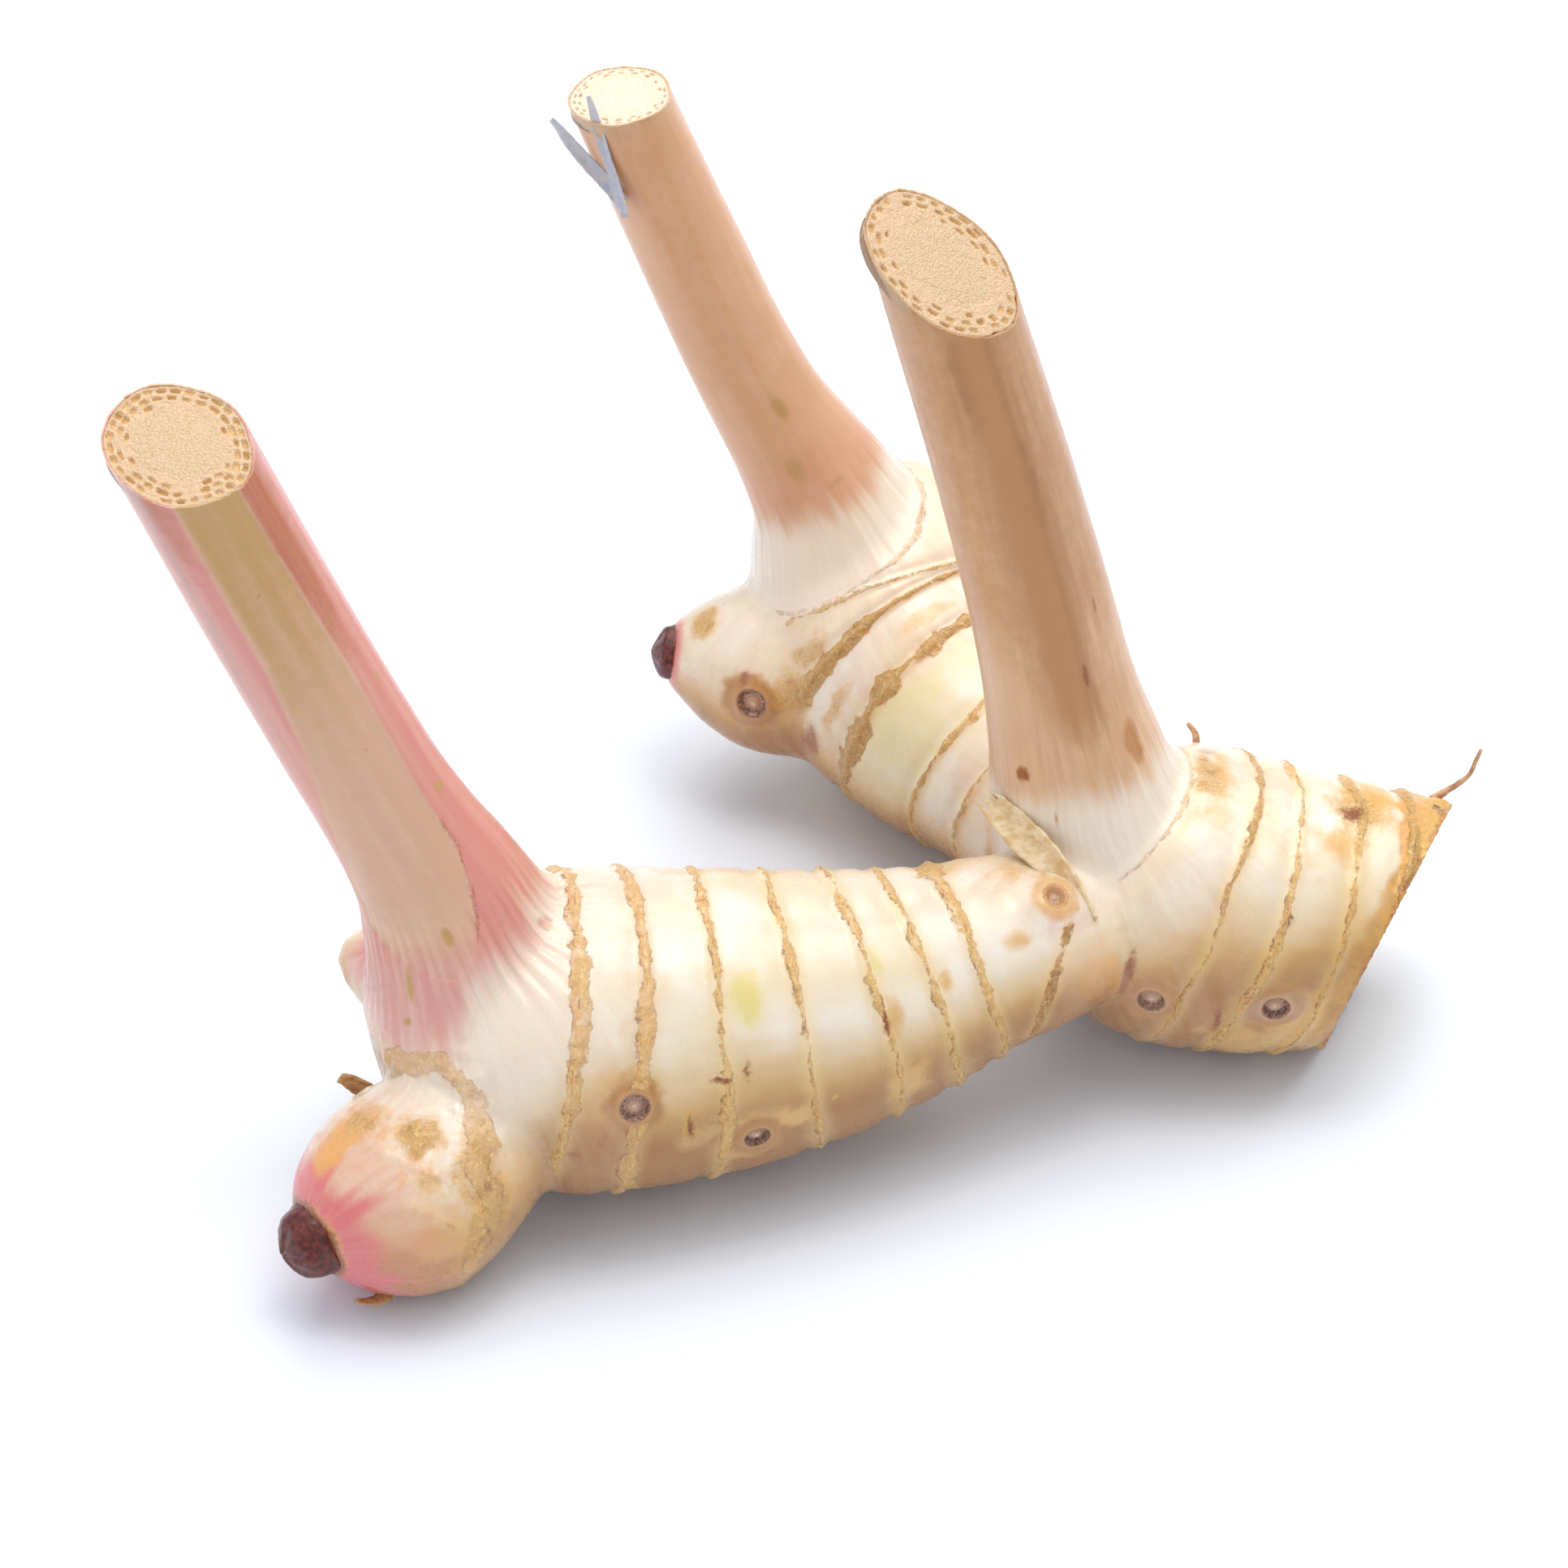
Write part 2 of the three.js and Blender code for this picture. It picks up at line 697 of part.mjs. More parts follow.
/** Everything that is one grown rhizome, swollen by an offset. */
function grown(offset) {
  return wasm.Manifold.union([
    rhizomeBody(offset),
    eye(frontSpine, EYE, offset),
    ...allRoots.map(([spine, mark]) => rootCollar(spine, mark, offset)),
    rootlet(END_ROOTLET, offset),
    rootlet(TOP_ROOTLET, offset),
    blade(FLAKE_UPPER, offset),
    blade(FLAKE_LOWER, offset),
  ]);
}

/** The largest of the bodies that a solid falls into. */
function largest(solid) {
  return solid.decompose().sort((a, b) => b.volume() - a.volume())[0];
}

/** Air chambers: short blind pits along a stem's axis, under its cut. */
function chambers(spine, cut, rings) {
  const out = vec(cut.out).normalize();
  const here = vec(cut.at);
  let s = 0;
  let best = Infinity;
  for (let t = 0; t <= spine.length; t += 0.1) {
    const d = Math.abs(spine.at(t).point.sub(here).dot(out));
    if (d < best) [s, best] = [t, d];
  }
  const f = spine.at(s);
  const pits = [];
  for (const ring of rings) {
    for (let i = 0; i < ring.count; i++) {
      const middle = (2 * Math.PI * (i + 0.5 * (ring.inner > 0.7))) / ring.count;
      const half = (Math.PI / ring.count) * ring.fill;
      const corner = (share, angle, depth) => {
        const r = f.radius * share;
        const p = f.point
          .clone()
          .addScaledVector(f.up, r * Math.cos(angle))
          .addScaledVector(f.side, r * Math.sin(angle));
        const slide = -p.clone().sub(here).dot(out) / f.along.dot(out);
        return p.addScaledVector(f.along, slide + depth);
      };
      const row = (depth) => [
        corner(ring.inner, middle - half, depth),
        corner(ring.outer, middle - half, depth),
        corner(ring.outer, middle + half, depth),
        corner(ring.inner, middle + half, depth),
      ];
      pits.push(prism(row(-CHAMBER_DEPTH), row(2.5)));
    }
  }
  return wasm.Manifold.union(pits);
}

/** A closed prism between two rows of four corners. */
function prism(lower, upper) {
  const points = [...lower, ...upper].flatMap((p) => p.toArray());
  const index = [0, 2, 1, 0, 3, 2, 4, 5, 6, 4, 6, 7];
  for (let i = 0; i < 4; i++) {
    const k = (i + 1) % 4;
    index.push(i, k, k + 4, i, k + 4, i + 4);
  }
  const geometry = new THREE.BufferGeometry();
  geometry.setAttribute("position", new THREE.Float32BufferAttribute(points, 3));
  geometry.setIndex(index);
  return solidOf(geometry);
}

/** A stem from its flared foot to its knife cut. */
function stem(spine, offset) {
  return tube(spine, {
    rows: evenRows(0, spine.length, 17),
    segments: STEM_SEGMENTS,
    offset,
    lift: (s, angle) => 0.12 * Math.sin(5 * angle + 0.05 * s),
  });
}

/** A dry cap that sits on the end of a bud. */
function cap(rows) {
  const spine = new Spine(rows, [0, 0, 1]);
  return tube(spine, {
    rows: evenRows(0, spine.length, 6),
    segments: 14,
    cap: 0.25,
    lift: (s, angle) => 0.18 * Math.sin(3 * angle + s),
  });
}

const swollen = grown(GAP);
const pits = wasm.Manifold.union(allRoots.map(([spine, mark]) => rootPit(spine, mark)));
const rhizome = largest(
  grown(0).subtract(pits).subtract(beyond(END_CUT)).subtract(beyond(TABLE, 120)),
);
const stems = [
  ["stem_front", frontStemSpine, FRONT_CUT, FRONT_CHAMBERS],
  ["stem_middle", middleStemSpine, MIDDLE_CUT, MIDDLE_CHAMBERS],
  ["stem_rear", rearStemSpine, REAR_CUT, REAR_CHAMBERS],
].map(([name, spine, cut, rings]) => [
  name,
  largest(
    stem(spine, 0)
      .subtract(beyond(cut))
      .subtract(swollen)
      .subtract(chambers(spine, cut, rings)),
  ),
]);
const caps = [
  ["bud_tip_front", largest(cap(FRONT_TIP).subtract(swollen))],
  ["bud_tip_rear", largest(cap(REAR_TIP).subtract(swollen))],
];
const bract = largest(
  blade(BRACT).subtract(swollen).subtract(stem(middleStemSpine, GAP)),
);
const shreds = largest(
  wasm.Manifold.union([blade(SHRED_FREE), blade(SHRED_LYING)]).subtract(
    stem(rearStemSpine, GAP),
  ),
);

function node(name, solid, material) {
  const out = solid.getMesh();
  const count = out.numVert;
  const positions = new Float32Array(count * 3);
  for (let i = 0; i < count; i++) {
    positions.set(
      out.vertProperties.subarray(i * out.numProp, i * out.numProp + 3),
      i * 3,
    );
  }
  const geometry = new THREE.BufferGeometry();
  geometry.setAttribute("position", new THREE.BufferAttribute(positions, 3));
  geometry.setIndex(Array.from(out.triVerts));
  geometry.translate(...SHIFT);
  geometry.computeVertexNormals();
  const mesh = new THREE.Mesh(
    geometry,
    new THREE.MeshStandardMaterial({ name, ...MATERIALS[material] }),
  );
  mesh.name = name;
  return mesh;
}

const group = new THREE.Group();
group.name = "galangal_root";
group.add(node("rhizome", rhizome, "skin"));
for (const [name, solid] of stems) group.add(node(name, solid, "shoot"));
for (const [name, solid] of caps) group.add(node(name, solid, "dry"));
group.add(node("scale_leaf", bract, "husk"));
group.add(node("sheath_shreds", shreds, "husk"));

export default group;
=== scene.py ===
"""A fresh galangal root on a pale floor: a ringed cream rhizome whose three limbs turn up into cut shoots.

Sizes and places below are in millimetres, laid out from the middle of the spot under the root,
and become metres in the meshes.
"""

import json
import logging
import math
from dataclasses import dataclass
from enum import Enum
from functools import partial
from typing import Callable, ClassVar, Sequence

import bpy
import numpy as np
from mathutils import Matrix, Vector

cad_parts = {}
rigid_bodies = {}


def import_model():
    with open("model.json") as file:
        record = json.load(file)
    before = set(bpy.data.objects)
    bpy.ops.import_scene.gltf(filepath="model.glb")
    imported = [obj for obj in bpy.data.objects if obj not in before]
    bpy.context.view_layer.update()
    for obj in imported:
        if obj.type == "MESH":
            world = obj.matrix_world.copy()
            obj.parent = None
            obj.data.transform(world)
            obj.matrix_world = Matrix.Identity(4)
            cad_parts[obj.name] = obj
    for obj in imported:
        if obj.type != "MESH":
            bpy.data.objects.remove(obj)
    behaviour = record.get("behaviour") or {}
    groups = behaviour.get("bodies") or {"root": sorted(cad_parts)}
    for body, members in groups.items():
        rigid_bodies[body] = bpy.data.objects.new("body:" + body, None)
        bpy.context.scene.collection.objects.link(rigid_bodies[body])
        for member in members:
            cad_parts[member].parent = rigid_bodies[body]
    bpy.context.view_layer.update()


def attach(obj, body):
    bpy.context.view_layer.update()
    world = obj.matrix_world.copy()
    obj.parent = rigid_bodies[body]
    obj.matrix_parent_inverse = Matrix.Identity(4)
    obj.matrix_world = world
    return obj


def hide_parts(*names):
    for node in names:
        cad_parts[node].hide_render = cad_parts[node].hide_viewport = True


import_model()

logging.basicConfig(level=logging.INFO, format="%(message)s")
LOG = logging.getLogger("galangal")

MM = 0.001
SHIFT = np.array([-5.2, 34.36, 0.0])
BODY = "root"
SEED = 41
FAR = 99.0
LEAST_TURN = 1e-6
FLAT_GAP = 2e-5
FLAT_FACING = 0.99
MANY_SIDES = 12
EVEN_RADIUS = 8.0
APART = 150.0
SHOOTS_APART = 1000.0

Array = np.ndarray
Piece = bpy.types.Object
Material = bpy.types.Material
Point = Sequence[float]
Rows = Sequence[tuple[float, float, float, float]]
Socket = bpy.types.NodeSocket
Spot = tuple[float, float, float]
Colour = tuple[float, float, float]
Inputs = dict[str | int, object]
Relief = Callable[[Array, Array], tuple[Array, Array]]

FRONT_LIMB: Rows = (
    (35.4, -46.7, 20.7, 9.0), (28.7, -52.6, 21.5, 9.8), (22.2, -54.6, 20.6, 11.0),
    (14.0, -57.3, 19.2, 13.1), (3.1, -60.2, 18.4, 15.4), (-6.0, -62.1, 18.3, 16.8),
    (-15.0, -63.7, 18.5, 17.6), (-24.0, -65.0, 19.0, 17.9), (-30.0, -65.8, 19.5, 17.0),
    (-35.0, -66.4, 20.0, 15.0), (-39.4, -66.9, 20.5, 12.0), (-42.6, -67.2, 20.8, 8.2),
    (-44.4, -67.4, 21.0, 4.2),
)
MIDDLE_LIMB: Rows = (
    (86.0, -44.0, 13.0, 13.0), (78.0, -43.4, 14.2, 13.6), (69.8, -42.5, 15.4, 14.4),
    (62.7, -42.2, 16.2, 15.6), (55.2, -42.0, 16.75, 16.95), (47.8, -41.3, 17.9, 17.5),
    (42.0, -40.9, 18.9, 17.1), (37.2, -40.5, 19.7, 15.4), (33.2, -40.2, 20.3, 12.6),
    (30.4, -40.0, 20.7, 9.0), (28.8, -39.9, 21.0, 5.0),
)
REAR_LIMB: Rows = (
    (40.5, -37.0, 16.0, 12.0), (33.4, -26.5, 15.8, 11.6), (26.6, -14.6, 16.0, 13.8),
    (19.3, -3.6, 16.15, 16.35), (14.0, 4.6, 18.9, 17.5), (10.9, 11.3, 23.7, 16.8),
    (8.4, 15.0, 25.9, 14.9), (6.6, 17.6, 27.3, 11.5), (5.4, 19.2, 28.1, 7.6),
    (4.8, 20.1, 28.6, 4.0),
)
FRONT_BUD: Rows = (
    (-28.6, -73.4, 15.6, 6.6), (-34.4, -78.1, 13.5, 10.0), (-40.6, -82.0, 11.3, 11.75),
    (-46.2, -85.0, 10.3, 10.2), (-49.3, -87.0, 9.9, 7.4), (-50.8, -88.1, 9.7, 4.8),
)
REAR_BUD: Rows = (
    (5.0, 3.0, 17.4, 12.5), (-0.6, 2.4, 16.6, 11.0), (-6.0, 2.8, 17.2, 9.3),
    (-10.4, 3.0, 17.8, 6.8), (-13.6, 3.0, 18.2, 3.8),
)
HIDDEN_BUD: Rows = (
    (-38.0, -58.0, 20.0, 7.0), (-43.5, -56.0, 20.4, 6.4), (-47.3, -54.9, 20.9, 4.2),
    (-49.4, -54.4, 21.6, 1.8),
)
FRONT_TIP: Rows = (
    (-48.9, -87.0, 9.85, 4.3), (-50.6, -88.1, 9.65, 4.3), (-52.0, -89.0, 9.5, 4.0),
    (-53.3, -89.8, 9.3, 3.1), (-54.0, -90.2, 9.2, 1.7),
)
REAR_TIP: Rows = (
    (-12.3, 3.0, 18.1, 3.3), (-13.8, 3.0, 18.3, 3.3), (-14.9, 3.0, 18.4, 2.9),
    (-15.6, 3.0, 18.5, 1.7),
)
FRONT_STEM: Rows = (
    (-30.6, -65.6, 16.5, 8.4), (-31.8, -65.2, 20.5, 12.2), (-33.1, -64.7, 24.8, 13.4),
    (-34.5, -64.0, 30.0, 11.9), (-36.0, -63.5, 34.8, 10.5), (-37.9, -63.0, 40.3, 9.1),
    (-40.2, -62.7, 45.3, 8.15), (-42.8, -62.5, 50.8, 7.65), (-46.8, -62.1, 59.8, 7.5),
    (-54.3, -61.6, 77.9, 7.35), (-61.6, -61.4, 96.5, 7.17), (-66.3, -61.6, 108.0, 7.0),
)
MIDDLE_STEM: Rows = (
    (38.6, -41.2, 18.2, 8.6), (37.5, -40.9, 22.0, 11.8), (36.3, -40.4, 25.4, 12.6),
    (35.2, -40.0, 28.8, 12.0), (33.7, -39.5, 33.2, 10.9), (32.5, -38.7, 38.6, 9.76),
    (31.3, -38.1, 43.4, 8.99), (30.1, -37.5, 48.7, 8.4), (28.7, -36.8, 55.0, 8.08),
    (24.6, -35.1, 71.1, 7.59), (16.5, -33.0, 99.6, 7.0), (12.0, -31.8, 116.0, 6.8),
)
REAR_STEM: Rows = (
    (11.8, 7.6, 16.0, 13.0), (10.8, 8.0, 20.5, 13.6), (9.4, 8.4, 25.4, 13.5),
    (7.2, 8.9, 31.0, 11.9), (4.8, 9.7, 37.7, 9.3), (1.6, 10.2, 43.9, 7.8), (-1.9, 10.6, 50.2, 6.85),
    (-4.6, 11.0, 55.8, 6.55), (-11.1, 12.3, 71.5, 6.21), (-18.7, 13.6, 90.8, 5.8),
    (-21.4, 14.0, 98.0, 5.7),
)


class Tint(Enum):
    """Colours that patches of the skin take. Each has a mesh attribute of its own name."""

    TAN = "tan"
    GOLD = "gold"
    ORANGE = "orange"
    RUST = "rust"
    PINK = "pink"
    STAIN = "stain"
    WHITE = "white"
    MAUVE = "mauve"
    OLIVE = "olive"
    BRUISE = "bruise"


def ramp(value: Array, low: float, high: float) -> Array:
    """A smooth rise from 0 at low to 1 at high, or a fall where high is under low."""
    t = np.clip((value - low) / (high - low), 0.0, 1.0)
    return t * t * (3.0 - 2.0 * t)


def bell(value: Array, width: float | Array) -> Array:
    """A bell of height 1 at 0 that has fallen to about a third at width."""
    return np.exp(-((value / width) ** 2))


def turn_between(angle: Array, degrees: float) -> Array:
    """Signed turn in radians from a named angle in degrees to each angle in radians."""
    away = angle - math.radians(degrees)
    return np.arctan2(np.sin(away), np.cos(away))


def lay(tints: dict[Tint, Array], tint: Tint, amount: Array) -> None:
    """Lays a patch of colour where it is stronger than what is there."""
    tints[tint] = np.maximum(tints[tint], amount)


class Noise:
    """Smooth noise over points, from about -1 to 1, the same on each run."""

    PRIMES = (73856093, 19349663, 83492791)
    SIZE = 4096

    def __init__(self, seed: int) -> None:
        """Draws the table of corner values.

        Args:
            seed: Names the draw.
        """
        self.table = np.random.default_rng(seed).random(self.SIZE) * 2.0 - 1.0

    def at(self, points: Array, size: float) -> Array:
        """Reads the noise.

        Args:
            points: Places, one to a row.
            size: Width of one swell.

        Returns:
            One value to a point.
        """
        scaled = points / size
        cell = np.floor(scaled).astype(np.int64)
        share = scaled - cell
        share = share * share * (3.0 - 2.0 * share)
        total = np.zeros(len(points))
        for corner in range(8):
            step = np.array([corner & 1, corner >> 1 & 1, corner >> 2 & 1])
            keys = (cell + step) * np.array(self.PRIMES)
            key = (keys[:, 0] ^ keys[:, 1] ^ keys[:, 2]) % self.SIZE
            weight = np.prod(np.where(step == 1, share, 1.0 - share), axis=1)
            total += weight * self.table[key]
        return total

    def layered(self, points: Array, size: float, layers: int = 3) -> Array:
        """Noise with finer noise on top, each layer half the size and half the height.

        Args:
            points: Places in millimetres, one to a row.
            size: Width of one swell.
            layers: How many sizes of swell lie on each other.

        Returns:
            One value to a point.
        """
        total = np.zeros(len(points))
        for layer in range(layers):
            total += self.at(points + 17.3 * layer, size / 2**layer) / 2**layer
        return total / 1.5


NOISE = Noise(SEED)


@dataclass(frozen=True)
class Sections:
    """Cross-sections of a spine: middles, directions and radii, one row to a section."""

    point: Array
    along: Array
    side: Array
    up: Array
    radius: Array

    def skin(self, angle: Array) -> Array:
        """Points of the skin at an angle from the upper side."""
        out = self.up * np.cos(angle)[:, None] + self.side * np.sin(angle)[:, None]
        return self.point + self.radius[:, None] * out


@dataclass(frozen=True)
class Place:
    """Where points lie by a spine: distance along, angle from the top, gap to its skin, its radius."""

    s: Array
    angle: Array
    gap: Array
    radius: Array


class Spine:
    """A smooth line through rows of x, y, z and radius, measured by the distance between rows."""

    SAMPLE = 0.4
    CHUNK = 20000

    def __init__(self, rows: Rows, side: Point) -> None:
        """Works out the slopes.

        Args:
            rows: Points with their radii.
            side: A sideways direction that keeps the sections from twisting.
        """
        self.rows = np.array(rows, float)
        self.side = np.array(side, float) / np.linalg.norm(side)
        steps = np.linalg.norm(np.diff(self.rows[:, :3], axis=0), axis=1)
        self.knots = np.concatenate([[0.0], np.cumsum(steps)])
        self.length = float(self.knots[-1])
        rates = np.diff(self.rows, axis=0) / steps[:, None]
        before, after = steps[:-1, None], steps[1:, None]
        inner = (rates[1:] * before + rates[:-1] * after) / (before + after)
        self.slopes = np.concatenate([rates[:1], inner, rates[-1:]])

    def at(self, s: Array | Point | float) -> Sections:
        """The sections at distances along the spine.

        Args:
            s: Distances along the spine.

        Returns:
            One section to a distance.
        """
        t = np.clip(np.atleast_1d(np.asarray(s, float)), 0.0, self.length)
        i = np.clip(np.searchsorted(self.knots, t) - 1, 0, len(self.rows) - 2)
        span = (self.knots[i + 1] - self.knots[i])[:, None]
        u = ((t - self.knots[i]) / span[:, 0])[:, None]
        first, last = self.rows[i], self.rows[i + 1]
        leave, arrive = self.slopes[i], self.slopes[i + 1]
        value = (
            (2 * u**3 - 3 * u**2 + 1) * first
            + (u**3 - 2 * u**2 + u) * span * leave
            + (3 * u**2 - 2 * u**3) * last
            + (u**3 - u**2) * span * arrive
        )
        rate = (
            (6 * u**2 - 6 * u) * (first - last) / span
            + (3 * u**2 - 4 * u + 1) * leave
            + (3 * u**2 - 2 * u) * arrive
        )[:, :3]
        along = rate / np.linalg.norm(rate, axis=1)[:, None]
        side = self.side - along * (along @ self.side)[:, None]
        side /= np.linalg.norm(side, axis=1)[:, None]
        up = np.cross(side, along)
        return Sections(value[:, :3], along, side, up, value[:, 3])

    def locate(self, points: Array) -> Place:
        """Finds where points lie by the spine.

        Args:
            points: Places in millimetres.

        Returns:
            Their distance along, angle round and gap to the skin.
        """
        samples = np.arange(0.0, self.length + self.SAMPLE, self.SAMPLE)
        near = self.at(samples)
        nearest = np.empty(len(points), int)
        gap = np.empty(len(points))
        squares = (near.point**2).sum(1)
        for start in range(0, len(points), self.CHUNK):
            part = points[start : start + self.CHUNK]
            square = (part**2).sum(1)[:, None] + squares - 2.0 * part @ near.point.T
            away = np.sqrt(np.maximum(square, 0.0))
            nearest[start : start + self.CHUNK] = away.argmin(1)
            gap[start : start + self.CHUNK] = (away - near.radius).min(1)
        s = samples[nearest] + ((points - near.point[nearest]) * near.along[nearest]).sum(1)
        s = np.clip(s, 0.0, self.length)
        here = self.at(s)
        out = points - here.point
        angle = np.arctan2((out * here.side).sum(1), (out * here.up).sum(1))
        return Place(s, angle, gap, here.radius)


def waver(s: Array, angle: Array, size: float) -> Array:
    """Wander of a leaf scar along its limb.

    Args:
        s: Distances along the spine.
        angle: Angles round it, in radians from the upper side.
        size: The farthest that the line wanders.

    Returns:
        Millimetres along the limb.
    """
    k = s / 10.0
    return size * (
        0.5 * np.sin(angle + 1.9 * k)
        + 0.32 * np.sin(2.0 * angle - 2.3 * k)
        + 0.18 * np.sin(3.0 * angle + 3.1 * k)
    )


def lump(s: Array, angle: Array, size: float) -> Array:
    """Share of the radius by which a section is out of round."""
    first = 0.55 * np.sin(2.0 * angle + 0.08 * s + 0.6)
    return size * (first + 0.45 * np.sin(3.0 * angle - 0.11 * s + 1.4))


def alone(obj: Piece) -> Piece:
    """Makes an object the only one selected, and the active one.

    Args:
        obj: The object.

    Returns:
        The same object.
    """
    bpy.ops.object.select_all(action="DESELECT")
    obj.select_set(True)
    bpy.context.view_layer.objects.active = obj
    return obj


def raw_points(obj: Piece) -> Array:
    """The vertices just as the mesh holds them, one to a row.

    Args:
        obj: The piece.

    Returns:
        Places in the mesh's own units.
    """
    flat = np.empty(len(obj.data.vertices) * 3, np.float32)
    obj.data.vertices.foreach_get("co", flat)
    return flat.reshape(-1, 3).astype(float)


def points_of(obj: Piece) -> Array:
    """The vertices in millimetres, in the layout's own frame."""
    return raw_points(obj) / MM - SHIFT


def place_points(obj: Piece, points: Array) -> None:
    """Puts the vertices at points in millimetres of the layout's own frame.

    Args:
        obj: The piece.
        points: Places in millimetres, one to a row.
    """
    flat = ((points + SHIFT) * MM).astype(np.float32).ravel()
    obj.data.vertices.foreach_set("co", flat)
    obj.data.update()


def normals_of(obj: Piece) -> Array:
    """The vertex normals.

    Args:
        obj: The piece.

    Returns:
        One unit vector to a vertex.
    """
    flat = np.empty(len(obj.data.vertices) * 3, np.float32)
    obj.data.vertex_normals.foreach_get("vector", flat)
    return flat.reshape(-1, 3).astype(float)


def store(obj: Piece, name: str, values: Array) -> None:
    """Keeps a value or a vector for each vertex as a mesh attribute.

    Args:
        obj: The piece.
        name: The attribute's name.
        values: One value or vector to a vertex.
    """
    kind = "FLOAT" if values.ndim == 1 else "FLOAT_VECTOR"
    key = "value" if values.ndim == 1 else "vector"
    held = obj.data.attributes.get(name)
    if held is None:
        held = obj.data.attributes.new(name, kind, "POINT")
    held.data.foreach_set(key, values.astype(np.float32).ravel())


def world(point: Array | Point) -> Vector:
    """A point of the layout as metres in the frame."""
    return Vector((np.asarray(point, float) + SHIFT) * MM)


def loft(name: str, sections: Sections, segments: int) -> Piece:
    """Draws a closed tube through sections: a disc is added, then extruded, turned and resized.

    Args:
        name: Name of the new object.
        sections: Where the rings stand, the first and last small enough to close the ends.
        segments: Vertices to a ring.

    Returns:
        The tube, with its origin at the world's origin.
    """
    bpy.ops.object.select_all(action="DESELECT")
    places = [world(p) for p in sections.point]
    axes = [Vector(a) for a in sections.along]
    facing = axes[0].to_track_quat("Z", "Y").to_euler()
    bpy.ops.mesh.primitive_circle_add(
        vertices=segments,
        radius=sections.radius[0] * MM,
        fill_type="NGON",
        location=places[0],
        rotation=facing,
    )
    obj = bpy.context.object
    obj.name = name
    bpy.ops.object.mode_set(mode="EDIT")
    bpy.ops.mesh.select_all(action="SELECT")
    for i in range(1, len(places)):
        step = places[i] - places[i - 1]
        bpy.ops.mesh.extrude_region_move(TRANSFORM_OT_translate={"value": step})
        bend = axes[i - 1].rotation_difference(axes[i]).to_euler("XYZ")
        for axis, angle in zip("XYZ", bend):
            if abs(angle) > LEAST_TURN:
                bpy.ops.transform.rotate(value=-angle, orient_axis=axis, center_override=places[i])
        grow = float(sections.radius[i] / sections.radius[i - 1])
        bpy.ops.transform.resize(value=(grow, grow, grow), center_override=places[i])
    bpy.ops.object.mode_set(mode="OBJECT")
    face_outward(obj)
    bpy.ops.object.transform_apply(location=True, rotation=True, scale=True)
    return obj


def tube_sections(spine: Spine, spacing: float, start: float = 0.35, end: float = 0.3) -> Sections:
    """Evenly spaced sections with a small one past each end, which rounds it off.

    Args:
        spine: The line to follow.
        spacing: Distance between sections.
        start: How far the first end bulges, as a share of its radius.
        end: The same for the last end.

    Returns:
        The sections from end to end.
    """
    count = max(4, round(spine.length / spacing) + 1)
    main = spine.at(np.linspace(0.0, spine.length, count))
    first = main.point[0] - main.along[0] * start * main.radius[0]
    last = main.point[-1] + main.along[-1] * end * main.radius[-1]
    return Sections(
        np.vstack([first, main.point, last]),
        np.vstack([main.along[0], main.along, main.along[-1]]),
        np.vstack([main.side[0], main.side, main.side[-1]]),
        np.vstack([main.up[0], main.up, main.up[-1]]),
        np.concatenate([[0.1 * main.radius[0]], main.radius, [0.1 * main.radius[-1]]]),
    )


def choose_faces(obj: Piece, chosen: Array) -> None:
    """Goes into edit mode with just these faces selected.

    Args:
        obj: The piece.
        chosen: True for each face to select.
    """
    alone(obj)
    bpy.ops.object.mode_set(mode="EDIT")
    bpy.ops.mesh.select_mode(type="FACE")
    bpy.ops.mesh.select_all(action="DESELECT")
    bpy.ops.object.mode_set(mode="OBJECT")
    obj.data.polygons.foreach_set("select", chosen.astype(bool))
    bpy.ops.object.mode_set(mode="EDIT")


def face_values(obj: Piece, values: Array) -> Array:
    """The mean of vertex values over each face.

    Args:
        obj: The piece.
        values: One value to a vertex.

    Returns:
        One value to a face.
    """
    starts = np.empty(len(obj.data.polygons), np.int32)
    totals = np.empty(len(obj.data.polygons), np.int32)
    corners = np.empty(len(obj.data.loops), np.int32)
    obj.data.polygons.foreach_get("loop_start", starts)
    obj.data.polygons.foreach_get("loop_total", totals)
    obj.data.loops.foreach_get("vertex_index", corners)
    return np.add.reduceat(values[corners], starts) / totals


def refine(obj: Piece, wanted: Array) -> None:
    """Splits each face in four where the mean of a vertex value is over a half.

    Args:
        obj: The piece.
        wanted: 1 at each vertex to refine, and 0 elsewhere.
    """
    choose_faces(obj, face_values(obj, wanted) > 0.5)
    bpy.ops.mesh.subdivide(number_cuts=1, ngon=False, quadcorner="INNERVERT")
    bpy.ops.object.mode_set(mode="OBJECT")


def apply_modifier(obj: Piece, kind: str, **settings: object) -> None:
    """Adds a modifier, sets it and applies it.

    Args:
        obj: The piece.
        kind: The modifier's type.
        **settings: Its properties.
    """
    alone(obj)
    modifier = obj.modifiers.new(kind.title(), kind)
    for key, value in settings.items():
        setattr(modifier, key, value)
    bpy.ops.object.modifier_apply(modifier=modifier.name)


def join_as(name: str, objects: Sequence[Piece]) -> Piece:
    """Joins objects into one with a new name.

    Args:
        name: Name of the new object.
        objects: The objects, the first of which stays.

    Returns:
        The joined object.
    """
    bpy.ops.object.select_all(action="DESELECT")
    for obj in objects:
        obj.select_set(True)
    bpy.context.view_layer.objects.active = objects[0]
    bpy.ops.object.join()
    joined = bpy.context.object
    joined.name = name
    return joined


def face_outward(obj: Piece) -> None:
    """Turns every face outward.

    Args:
        obj: The piece.
    """
    alone(obj)
    bpy.ops.object.mode_set(mode="EDIT")
    bpy.ops.mesh.select_all(action="SELECT")
    bpy.ops.mesh.normals_make_consistent(inside=False)
    bpy.ops.object.mode_set(mode="OBJECT")


